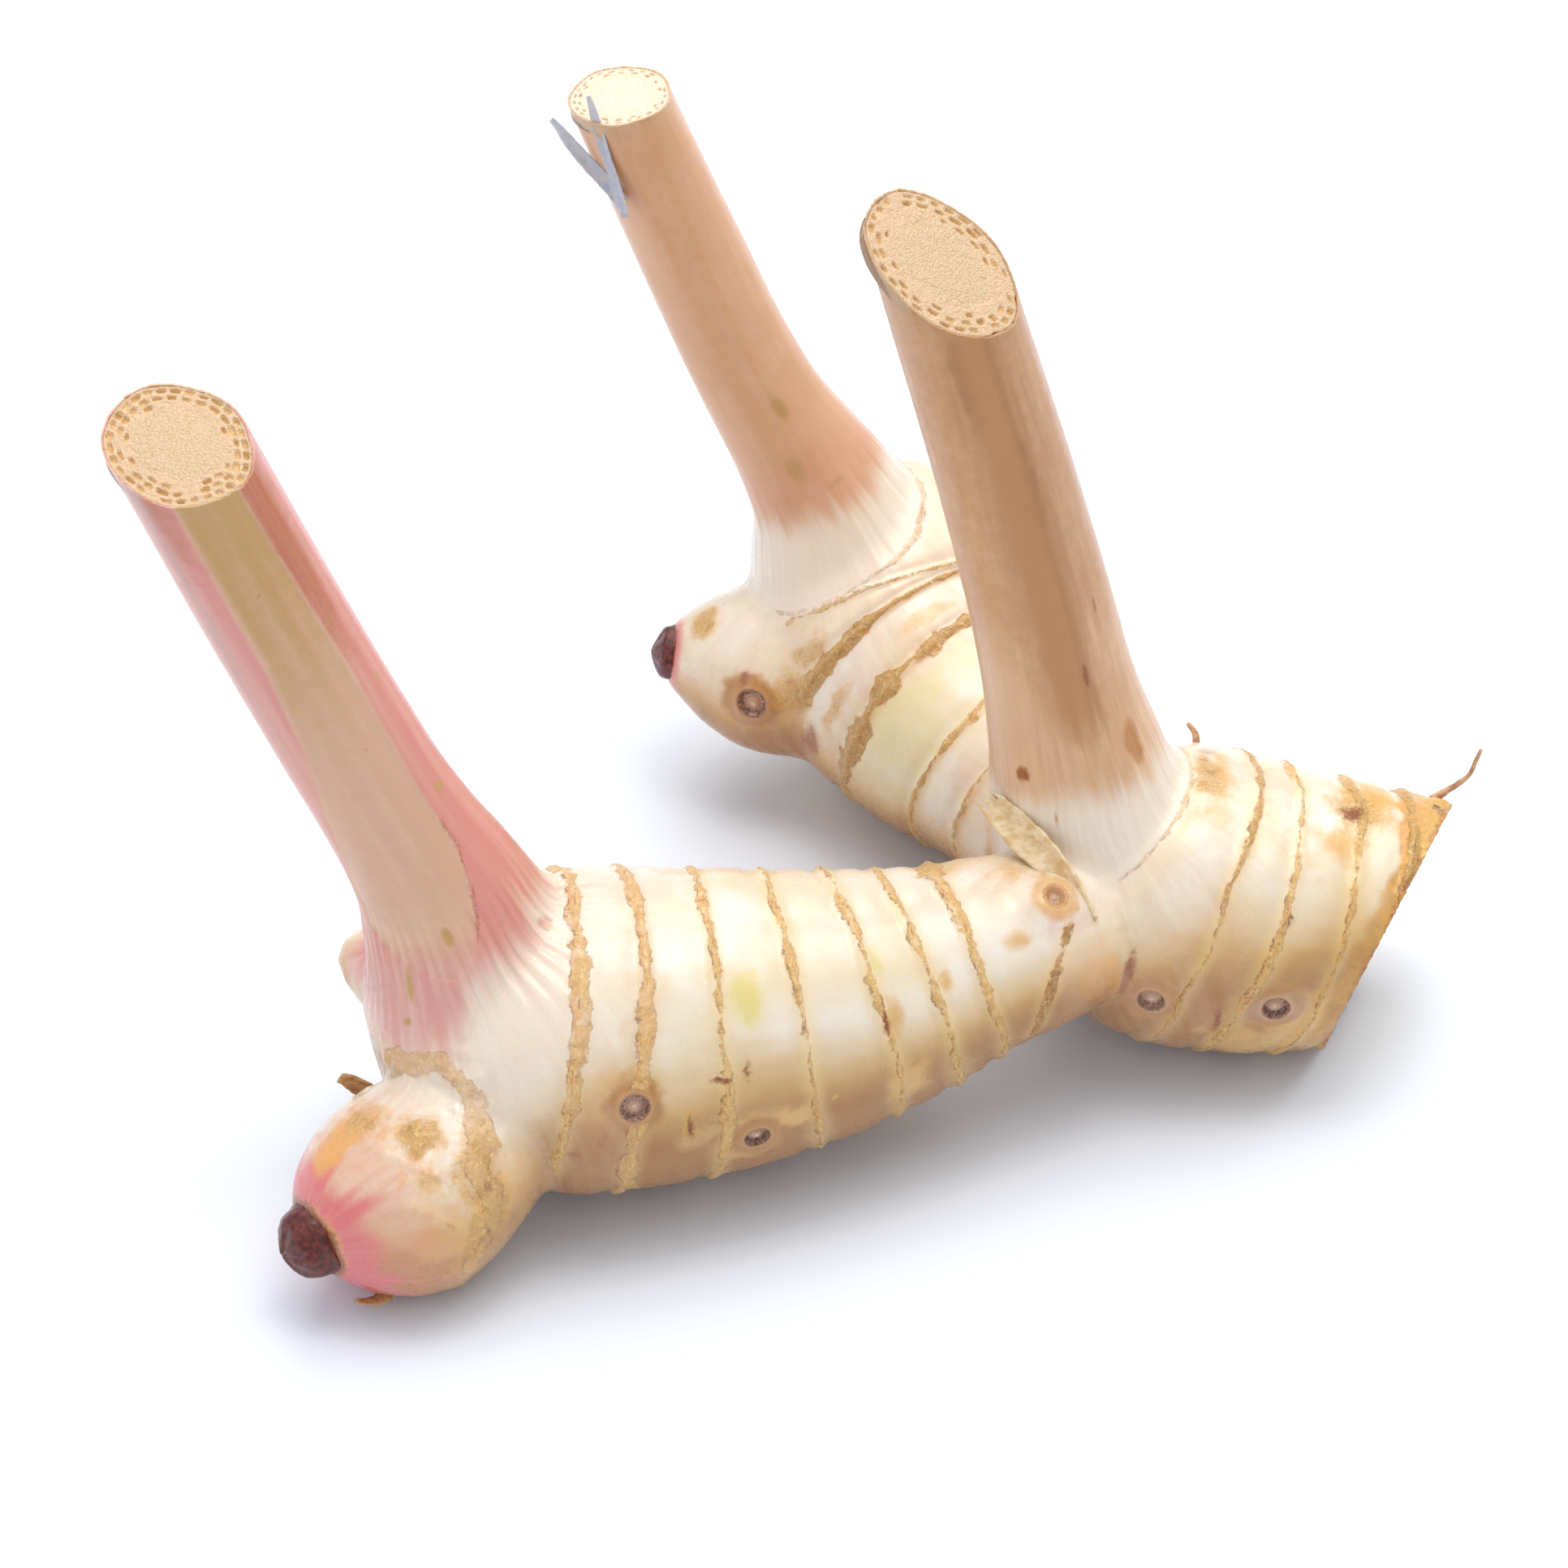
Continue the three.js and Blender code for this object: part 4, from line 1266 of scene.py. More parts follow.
class SkinMaker:
    """Works out the skin of the rhizome and its shoots from where each point lies."""

    FOOT_LINE_OFFSET = 0.7
    THIN = 0.85
    RING_HOLD = 0.88
    FOOT_REACH = 12.0

    def __init__(self, survey: Survey, normals: Array | None = None) -> None:
        """Takes the survey of the points to be clothed, and the way that the skin faces.

        Args:
            survey: Where the points lie.
            normals: The way that the skin faces at each; skin that faces down gets painted shade.
        """
        self.survey = survey
        self.points = survey.points
        self.facing_up = np.zeros(len(survey.points)) if normals is None else normals[:, 2]
        self.count = len(self.points)
        self.wobble = NOISE.layered(self.points, 1.8)
        self.broad = NOISE.layered(self.points, 7.0)

    def sandy(self) -> Array:
        """How sandy the collar behind the front bud is."""
        collar = distance_to_path(self.points, CREASES[0].points) + 1.2 * (self.wobble + self.broad)
        return ramp(collar, 4.6, 1.2) * ramp(self.points[:, 2], 5.0, 12.0)

    def old_end(self) -> Array:
        """1 on the crust between the last leaf scar of the middle limb and its cut."""
        past = MIDDLE.scar_distance(MIDDLE.scars[0], self.survey.members[MIDDLE_AT])
        return ramp(past + 0.6 * self.wobble, 2.2, 0.4) * (self.survey.owner == MIDDLE_AT)

    def crumbs(self) -> Array:
        """How crumbly the skin is, on the front bud and at the middle limb's old end.

        Returns:
            A share from 0 to 1 at each point.
        """
        patch = FRONT_BUD_MEMBER.tint(Tint.GOLD, self.survey.members[FRONT_BUD_AT], self.wobble)
        patch *= self.survey.owner == FRONT_BUD_AT
        return np.maximum(np.maximum(0.8 * self.sandy(), patch), self.old_end())

    def lines(self) -> Lines:
        """The crusty lines: leaf scars, the creases at buds and joins, and the shoots' feet.

        Returns:
            The line whose crust is nearest to each point.
        """
        lines = Lines.none(self.count)
        everywhere = np.ones(self.count, bool)
        sway = 0.28 * NOISE.layered(self.points + 3.0, 1.5) + 0.5 * NOISE.at(self.points, 6.0)
        for index, member in enumerate(MEMBERS):
            place = self.survey.members[index]
            mine = self.survey.owner == index
            for scar in member.scars:
                signed = member.scar_distance(scar, place) + sway
                uneven = 1.0 + 1.3 * NOISE.layered(self.points + 31.0 * scar.s, 3.0)
                width = self.THIN * member.crust_width(scar, place.angle) * np.clip(uneven, 0.3, 2.8)
                lines.offer(signed, width, mine, scar.gold, 0.0, self.RING_HOLD)
        for crease in CREASES:
            signed = distance_to_path(self.points, crease.points) + 0.6 * sway
            uneven = np.clip(1.0 + 0.8 * NOISE.layered(self.points + 9.0, 2.2), 0.3, 2.0)
            lines.offer(signed, crease.width * uneven, everywhere, crease.gold, crease.rust, crease.hold)
        for index, plan in enumerate(SHOOTS):
            if plan.foot_line > 0.0:
                gap = self.survey.shoot_gaps[index]
                mine = (gap < 4.0) & (self.survey.owner == index)
                signed = gap - self.survey.member_gap - self.FOOT_LINE_OFFSET + 0.5 * sway
                uneven = np.clip(1.0 + 0.9 * NOISE.layered(self.points + 57.0, 3.0), 0.2, 2.0)
                uneven *= ramp(turn_between(self.survey.shoots[index].angle, -90.0), 0.1, 0.8)
                lines.offer(signed, plan.foot_line * uneven, mine, 0.3, 0.1, 0.55)
        return lines

    def rhizome_relief(self, lines: Lines) -> Array:
        """Height of the rhizome's skin over its plain round members.

        Args:
            lines: The crusty lines.

        Returns:
            Millimetres at each point.
        """
        survey = self.survey
        total = np.zeros(self.count)
        weights = np.zeros(self.count)
        for index, member in enumerate(MEMBERS):
            place = survey.members[index]
            weight = bell(np.maximum(place.gap - survey.member_gap, 0.0), 1.0)
            total += weight * member.relief(place)
            weights += weight
        height = total / weights
        inside = ramp(lines.lead + 0.25 * self.wobble, -0.15, 0.25)
        height += inside * lines.hold * (0.06 + 0.12 * NOISE.at(self.points, 0.7))
        for crease in CREASES:
            away = distance_to_path(self.points, crease.points)
            height += crease.height * bell(away, 0.5 * crease.width + 0.4) * (1.0 + 0.8 * self.wobble)
        height += 0.1 * self.broad + 0.025 * self.wobble
        height += self.crumbs() * (0.42 * NOISE.layered(self.points + 60.0, 1.2, 2))
        return height

    def scar_relief(self, share: Array, is_eye: Array) -> Array:
        """Height of root scars and of the eye.

        Args:
            share: Distance from the nearest scar's middle, in its radii.
            is_eye: 1 by the eye, 0 by a scar.

        Returns:
            Millimetres at each point.
        """
        collar = 0.35 * ramp(share, 2.1, 1.05)
        pit = -0.75 * ramp(share, 0.98, 0.8) + 0.35 * ramp(share, 0.6, 0.3)
        scar = collar + pit - 0.12 * ramp(share, 0.16, 0.05)
        dome = 1.2 * ramp(share, 2.2, 0.5)
        eye = dome - 0.8 * ramp(share, 0.5, 0.15) + 0.3 * ramp(share, 0.2, 0.05)
        return np.where(is_eye > 0.5, eye, scar)

    def shoot_relief(self) -> Array:
        """Height of the shoots' skin: pleats at the foot and the step of the wrapping sheath.

        Returns:
            Millimetres at each point.
        """
        survey = self.survey
        total = np.zeros(self.count)
        for index, plan in enumerate(SHOOTS):
            place = survey.shoots[index]
            away = place.s - plan.foot
            flare = ramp(away, 14.0, -1.0) * ramp(away, -9.0, -2.0)
            drift = 0.8 * NOISE.at(self.points + 5.0, 9.0)
            pleat = np.sin(plan.pleats * place.angle + 2.6 * drift)
            depth = 0.13 if plan.look is ShootLook.ROSE else 0.04
            height = depth * flare * (pleat + 0.4 * np.sin(2.3 * plan.pleats * place.angle))
            height += 0.1 * np.sin(5.0 * place.angle + 0.05 * place.s)
            ribs = NOISE.at(self.straight(place) * (1.0, 1.0, 0.05), 0.9)
            height += 0.035 * ribs
            if plan.look is ShootLook.ROSE:
                height -= 0.22 * self.band(place)
            mine = (survey.shoot == index) & (survey.shoot_gap < survey.member_gap + 4.0)
            total += np.where(mine, height, 0.0)
        return total

    @staticmethod
    def straight(place: Place, offset: float = 0.0) -> Array:
        """Points as on a straightened, even limb: across, across and along.

        Args:
            place: Where the points lie by its spine.
            offset: Added along, so that no two limbs share their grain.

        Returns:
            One place to a point.
        """
        return np.stack(
            [EVEN_RADIUS * np.cos(place.angle), EVEN_RADIUS * np.sin(place.angle), place.s + offset], axis=1
        )

    @staticmethod
    def band(place: Place) -> Array:
        """The inner sheath that shows between the two edges of the outer one.

        Args:
            place: Where the points lie by its spine.

        Returns:
            A share from 0 to 1 at each point.
        """
        left = np.radians(np.interp(place.s, *zip(*BAND_LEFT)))
        right = np.radians(np.interp(place.s, *zip(*BAND_RIGHT)))
        angle = np.where(place.angle > 2.2, place.angle - 2.0 * math.pi, place.angle)
        soft = 0.06 + 0.16 * ramp(place.s, 24.0, 45.0)
        from_left = np.clip((angle - left) / soft, 0.0, 1.0)
        from_right = ramp(right - angle, -0.03, 0.07)
        return from_left * from_left * (3.0 - 2.0 * from_left) * from_right

    def rhizome_tints(self, lines: Lines) -> dict[Tint, Array]:
        """The rhizome's patches of colour.

        Args:
            lines: The crusty lines.

        Returns:
            How strong each colour is at each point.
        """
        survey = self.survey
        points = self.points
        tints = {tint: np.zeros(self.count) for tint in Tint}
        for index, member in enumerate(MEMBERS):
            near = bell(np.maximum(survey.members[index].gap - survey.member_gap, 0.0), 1.2)
            for tint in Tint:
                value = member.tint(tint, survey.members[index], self.wobble)
                lay(tints, tint, value * near)
        in_crust = ramp(lines.lead + 0.3 * self.wobble, -0.5, 0.3) * lines.hold
        lay(tints, Tint.GOLD, in_crust * lines.gold)
        lay(tints, Tint.RUST, in_crust * lines.rust)
        bud_place = survey.members[FRONT_BUD_AT]
        on_bud = (survey.owner == FRONT_BUD_AT) * bell(bud_place.gap - survey.member_gap, 1.5)
        lay(tints, Tint.TAN, (0.4 + 0.1 * self.broad) * on_bud)
        gaps = np.sort(survey.member_gaps[:LIMBS], axis=0)
        # Painted shade: tan laid in the crease where two limbs meet.
        crevice_shade = bell(gaps[1] - gaps[0], 1.3) * bell(gaps[0], 1.5)
        lay(tints, Tint.TAN, 0.35 * crevice_shade)
        tip = np.linalg.norm(points - np.array(FRONT_TIP[1][:3]), axis=1)
        streak = NOISE.layered(self.straight(bud_place) * (1.0, 1.0, 0.12), 1.3)
        pink = ramp(tip + 2.8 * streak + 1.2 * self.broad, 15.0, 5.6)
        deep = ramp(tip + 0.8 * self.wobble, 6.4, 4.4)
        lay(tints, Tint.PINK, pink)
        lay(tints, Tint.ORANGE, 0.9 * deep * ramp(self.broad, -0.5, 0.4))
        lay(tints, Tint.RUST, ramp(tip + 0.6 * self.wobble, 5.6, 4.6))
        lay(tints, Tint.GOLD, 0.62 * self.sandy())
        rear_tip = np.linalg.norm(points - np.array(REAR_TIP[1][:3]), axis=1)
        lay(tints, Tint.PINK, 0.8 * ramp(rear_tip, 5.6, 3.6))
        lay(tints, Tint.RUST, 0.7 * ramp(rear_tip, 4.2, 3.4))
        out = np.array(END_OUT)
        from_end = -(points - np.array(END_AT)) @ out + 0.9 * self.wobble
        rim = np.maximum(self.old_end(), 0.8 * ramp(from_end, 3.4, 1.0))
        lay(tints, Tint.TAN, 0.9 * rim)
        lay(tints, Tint.BRUISE, rim * np.clip(0.7 + 0.5 * self.broad, 0.2, 1.0))
        lay(tints, Tint.GOLD, 0.45 * rim)
        lay(tints, Tint.ORANGE, 0.6 * rim * ramp(points[:, 2], 20.0, 28.0))
        lay(tints, Tint.RUST, 0.5 * ramp(from_end, 0.9, 0.2))
        for index, plan in enumerate(SHOOTS):
            foot = survey.shoot_gaps[index] - survey.member_gap
            reach = 7.0 if plan.look is ShootLook.ROSE else 1.4
            white = ramp(foot + 0.8 * self.broad, reach, 0.2 * reach)
            white *= survey.shoot_gaps[index] < 12.0
            lay(tints, Tint.WHITE, white)
        return tints

    def shoot_tints(self, index: int) -> dict[Tint, Array]:
        """A shoot's patches of colour.

        Args:
            index: The shoot's place in the list of plans.

        Returns:
            How strong each colour is at each point.
        """
        plan = SHOOTS[index]
        place = self.survey.shoots[index]
        tints = {tint: np.zeros(self.count) for tint in Tint}
        streak = NOISE.layered(self.straight(place) * (1.0, 1.0, 0.04), 1.3)
        fine = NOISE.layered(self.straight(place) * (1.0, 1.0, 0.08), 0.6)
        away = place.s - plan.foot
        turn = partial(turn_between, place.angle)
        high = 6.0 if plan.look is ShootLook.TAWNY else 8.5
        white = ramp(away + 2.4 * streak + 1.2 * fine, high, high - 10.0)
        if plan.look is ShootLook.ROSE:
            band = self.band(place)
            left = ramp(turn(-90.0), 0.3, -0.3)
            right = ramp(turn(-90.0), 0.6, 1.3)
            reach = away + 4.4 * streak + 3.2 * fine + 7.0 * left - 5.0 * right
            white = ramp(reach, 5.0, -9.0)
            olive = 1.15 * ramp(away, 14.0, 62.0) * (0.7 + 0.3 * bell(turn(-95.0), 0.5))
            tints[Tint.OLIVE] = band * olive * (0.8 + 0.3 * streak)
            band *= ramp(away, -1.0, 12.0)
            tints[Tint.TAN] = band * (0.75 + 0.3 * streak)
            rosy = (1.0 - band) * (0.75 + 0.35 * streak)
            tints[Tint.PINK] = np.maximum(rosy, 0.25 * band) * ramp(away + 8.0 * left, -9.0, 5.0)
            # Painted highlight: a pale streak on the left side, fading higher up, and a pale band along the
            # left edge.
            pale = bell(turn(-118.0), 0.12) * ramp(away, 60.0, 30.0)
            pale += bell(turn(-150.0), 0.3)
            white = np.maximum(white, 0.55 * pale * (1.0 - band) * ramp(streak, -0.5, 0.5))
            slit = distance_to_path(self.points, plan.skin_path(SLIT))
            tints[Tint.RUST] = 0.5 * ramp(slit + 0.1 * self.wobble, 0.3, 0.08)
            dull = bell(turn(-132.0), 0.25) * ramp(away, 10.0, 50.0)
            tints[Tint.MAUVE] = 0.5 * dull * (1.0 - band)
            back = ramp(np.abs(turn(-90.0)), 1.9, 2.6)
            tints[Tint.PINK] *= 1.0 - 0.45 * back
            right_top = bell(turn(-28.0), 0.4) * ramp(away, 25.0, 60.0)
            left_top = 0.9 * ramp(away, 40.0, 76.0) * bell(turn(-120.0), 0.4)
            tints[Tint.ORANGE] = np.maximum(0.95 * right_top, left_top) * (1.0 - band)
        elif plan.look is ShootLook.TAWNY:
            dark = bell(turn(-72.0) + 0.25 * streak, 0.42)
            dark = np.maximum(dark, 0.25 * bell(turn(-40.0), 0.6))
            dark *= ramp(away, 2.0, 14.0)
            tints[Tint.BRUISE] = 0.85 * dark * (0.85 + 0.6 * streak)
            golden = bell(turn(-80.0) + 0.12 * streak, 0.5)
            tints[Tint.OLIVE] = 0.75 * golden * ramp(away + 1.5 * fine, 2.0, 14.0)
            # Painted light: the left side is made paler low down and a little pink, as on its lit side.
            left = bell(turn(-140.0), 0.75)
            white = np.maximum(white, 0.35 * left * ramp(away, 52.0, 14.0))
            tints[Tint.PINK] = 0.16 * left * ramp(away, 0.0, 10.0)
            tints[Tint.TAN] = 0.6 * ramp(away, 6.0, 30.0)
        else:
            tints[Tint.ORANGE] = 0.22 * ramp(away, 5.0, 40.0)
            tints[Tint.PINK] = 0.28 * bell(away - 6.0, 7.0) + 0.1
            tints[Tint.TAN] = 0.35 * bell(turn(-80.0), 0.7) * ramp(away, 8.0, 40.0)
        tints[Tint.WHITE] = white
        tints[Tint.PINK] *= 1.0 - 0.75 * white
        for tint in (Tint.TAN, Tint.BRUISE, Tint.ORANGE):
            tints[tint] *= 1.0 - white
        from_cut = -(self.points - np.array(plan.cut_at)) @ np.array(plan.cut_out)
        rim = ramp(from_cut + 0.5 * self.wobble, 0.9, 0.1) * np.clip(0.55 + 0.6 * streak, 0.1, 1.0)
        lay(tints, Tint.BRUISE, 0.55 * rim)
        spots = Member("spots", plan.rows, (0.0, 1.0, 0.0), marks=plan.marks)
        for tint in Tint:
            lay(tints, tint, spots.tint(tint, place, self.wobble))
        return tints

    def whole(self) -> Skin:
        """The skin of the rhizome and its shoots together.

        Returns:
            The skin at each point.
        """
        survey = self.survey
        label = survey.on_shoot()
        lines = self.lines()
        share, flat, is_eye = survey.root_share()
        into_shoot = survey.member_gap - survey.shoot_gap
        near_root = ramp(share, 2.1, 1.2)
        height = self.rhizome_relief(lines) * (1.0 - 0.8 * near_root)
        height += self.scar_relief(share, is_eye)
        height *= ramp(into_shoot, 0.5, -2.5)
        height += self.shoot_relief() * ramp(into_shoot, -6.0, 0.0)
        tints = self.rhizome_tints(lines)
        halo = ramp(share + 0.5 * self.wobble, 2.9, 1.3) * (1.0 - is_eye)
        lay(tints, Tint.BRUISE, 1.1 * halo)
        eye_tan = 0.7 * is_eye * ramp(share, 1.5, 0.9)
        lay(tints, Tint.TAN, np.maximum(halo, eye_tan))
        lay(tints, Tint.PINK, 0.2 * is_eye * ramp(share, 2.4, 1.3))
        straight = np.zeros((self.count, 3))
        for index in range(len(MEMBERS)):
            mine = survey.owner == index
            straight[mine] = self.straight(survey.members[index], APART * index)[mine]
        for index in range(len(SHOOTS)):
            close = (survey.shoot == index) & (into_shoot > -self.FOOT_REACH)
            straight[close] = self.straight(survey.shoots[index], SHOOTS_APART + APART * index)[close]
            mine = label == index
            own = self.shoot_tints(index)
            reach = 11.0 if SHOOTS[index].look is ShootLook.ROSE else 2.5
            run_on = ramp(-into_shoot + 0.8 * self.broad, reach, 0.0) * close
            run_on[mine] = 1.0
            for tint in Tint:
                tints[tint] += run_on * (own[tint] - tints[tint])
        gone = (share < 1.4) | (into_shoot > 1.5)
        lines.hold = np.where(gone, 0.0, lines.hold)
        on_bud = np.isin(survey.owner, (FRONT_BUD_AT, REAR_BUD_AT))
        on_bud &= survey.member_gaps[:LIMBS].min(0) > 3.0
        grain = np.maximum(ramp(into_shoot, 0.8 - self.FOOT_REACH, 2.0 - self.FOOT_REACH), on_bud)
        # Painted shade: skin that faces down is tinted toward tan and deep brown; each member's lift sets
        # how high up it reaches, and it reaches higher toward the middle limb's cut end.
        shade_near_cut_end = ramp(survey.members[MIDDLE_AT].s, 36.0, 24.0) * (survey.owner == MIDDLE_AT)
        lifts = np.array([0.0, 0.14, -0.5, 0.0, -0.22, 0.0])
        lift = lifts[survey.owner] + 0.12 * shade_near_cut_end + 0.1 * self.broad
        under = np.clip((0.66 + lift - self.facing_up) / 0.66, 0.0, 1.4)
        under *= ramp(into_shoot, -1.0, -7.0)
        join = bell(into_shoot, 2.6)
        return Skin(
            lines, height, straight, grain, flat_share(share, flat), is_eye, under, join, tints
        )


def flat_share(share: Array, flat: Array) -> Array:
    """The flat vector from a root scar's middle, with the distance as its third part.

    Args:
        share: Distance from the middle, in radii.
        flat: The vector from the middle, in radii.

    Returns:
        One vector to a point.
    """
    held = flat.copy()
    held[:, 2] = share
    return held


class Wire:
    """A value in a material's nodes, so that sums of such values read as sums."""

    def __init__(self, graph: "Graph", socket: Socket) -> None:
        """Holds a socket and the graph that it is in."""
        self.graph = graph
        self.socket = socket

    def __add__(self, other: object) -> "Wire":
        """This and the other."""
        return self.graph.math("ADD", self, other)

    def __radd__(self, other: float) -> "Wire":
        """A number and this."""
        return self.graph.math("ADD", other, self)

    def __sub__(self, other: object) -> "Wire":
        """This less the other."""
        return self.graph.math("SUBTRACT", self, other)

    def __rsub__(self, other: float) -> "Wire":
        """A number less this."""
        return self.graph.math("SUBTRACT", other, self)

    def __mul__(self, other: object) -> "Wire":
        """This times the other."""
        return self.graph.math("MULTIPLY", self, other)


class Graph:
    """A material's nodes, written as sums."""

    def __init__(self, name: str) -> None:
        """Starts a material with one shader.

        Args:
            name: The material's name.
        """
        self.material = bpy.data.materials.new(name)
        self.material.use_nodes = True
        self.tree = self.material.node_tree
        self.tree.nodes.clear()
        self.shader = self.tree.nodes.new("ShaderNodeBsdfPrincipled")
        output = self.tree.nodes.new("ShaderNodeOutputMaterial")
        self.tree.links.new(self.shader.outputs["BSDF"], output.inputs["Surface"])
        self.position: Wire | None = None

    def put(self, socket: Socket, value: object) -> None:
        """Links a socket to a wire, or sets its number or colour.

        Args:
            socket: The input.
            value: A wire, a number or a colour.
        """
        if isinstance(value, Wire):
            self.tree.links.new(value.socket, socket)
        elif isinstance(value, tuple) and len(value) == 3 and len(socket.default_value) == 4:
            socket.default_value = (*value, 1.0)
        else:
            socket.default_value = value

    def node(self, kind: str, inputs: Inputs | None = None, **settings: object) -> bpy.types.Node:
        """Adds a node, with its settings and inputs.

        Args:
            kind: The node's type.
            inputs: Its inputs by name or place.
            **settings: Its properties.

        Returns:
            The node.
        """
        made = self.tree.nodes.new(kind)
        for key, value in settings.items():
            setattr(made, key, value)
        for key, value in (inputs or {}).items():
            self.put(made.inputs[key], value)
        return made

    def wire(self, kind: str, output: str | int, inputs: Inputs | None = None, **settings: object) -> Wire:
        """Adds a node and gives one of its outputs."""
        return Wire(self, self.node(kind, inputs, **settings).outputs[output])

    def math(self, operation: str, a: object, b: object = 0.0) -> Wire:
        """A sum of one or two numbers."""
        return self.wire("ShaderNodeMath", 0, {0: a, 1: b}, operation=operation)

    def most(self, a: object, b: object) -> Wire:
        """The larger of two numbers."""
        return self.math("MAXIMUM", a, b)

    def rise(self, value: object, low: float, high: float) -> Wire:
        """A smooth rise from 0 at low to 1 at high."""
        inputs = {"Value": value, "From Min": low, "From Max": high}
        return self.wire("ShaderNodeMapRange", "Result", inputs, interpolation_type="SMOOTHSTEP")

    def mix(self, a: object, b: object, factor: object) -> Wire:
        """A colour from a to b."""
        return self.wire("ShaderNodeMix", 2, {0: factor, 6: a, 7: b}, data_type="RGBA")

    def value(self, name: str) -> Wire:
        """A mesh attribute as a number."""
        return self.wire("ShaderNodeAttribute", "Fac", attribute_name=name)

    def vector(self, name: str) -> Wire:
        """A mesh attribute as a vector."""
        return self.wire("ShaderNodeAttribute", "Vector", attribute_name=name)

    def place(self) -> Wire:
        """The point in millimetres.

        Returns:
            The point's place on the piece.
        """
        if self.position is None:
            self.position = self.scaled(self.wire("ShaderNodeTexCoord", "Object"), (1.0 / MM,) * 3)
        return self.position

    def scaled(self, vector: Wire, factors: Colour) -> Wire:
        """A vector times a factor to each axis."""
        return self.wire("ShaderNodeVectorMath", 0, {0: vector, 1: factors}, operation="MULTIPLY")

    def noise(self, size: float, at: Wire | None = None, detail: float = 2.0, rough: float = 0.5) -> Wire:
        """Noise from 0 to 1 with swells of a size in millimetres."""
        inputs = {"Vector": at or self.place(), "Scale": 1.0 / size, "Detail": detail, "Roughness": rough}
        return self.wire("ShaderNodeTexNoise", "Fac", inputs)

    def cells(self, size: float) -> Wire:
        """Distance to the nearest of points scattered a size apart."""
        return self.wire("ShaderNodeTexVoronoi", "Distance", {"Vector": self.place(), "Scale": 1.0 / size})

    def finish(self, colour: object, roughness: object, height: Wire | None = None) -> None:
        """Sets the shader's colour and roughness, and raises a relief in millimetres.

        Args:
            colour: The base colour.
            roughness: From 0 to 1.
            height: The relief, if there is any.
        """
        self.put(self.shader.inputs["Base Color"], colour)
        self.put(self.shader.inputs["Roughness"], roughness)
        if height is not None:
            inputs = {"Height": height, "Strength": 1.0, "Distance": MM}
            self.put(self.shader.inputs["Normal"], self.wire("ShaderNodeBump", "Normal", inputs))

    def soften(self, weight: float, depth: float, radius: Colour = (1.0, 0.55, 0.3)) -> None:
        """Lets light into the flesh, to a depth in millimetres.

        Args:
            weight: Share of the light that goes in.
            depth: How far it goes.
            radius: How far red, green and blue go, as shares of the depth.
        """
        self.shader.inputs["Subsurface Weight"].default_value = weight
        self.shader.inputs["Subsurface Radius"].default_value = radius
        self.shader.inputs["Subsurface Scale"].default_value = depth * MM


def srgb(red: int, green: int, blue: int) -> Colour:
    """A screen colour as linear light.

    Args:
        red: From 0 to 255.
        green: From 0 to 255.
        blue: From 0 to 255.

    Returns:
        Red, green and blue from 0 to 1.
    """

    def linear(value: int) -> float:
        """One channel."""
        share = value / 255.0
        return share / 12.92 if share <= 0.04045 else ((share + 0.055) / 1.055) ** 2.4

    return linear(red), linear(green), linear(blue)


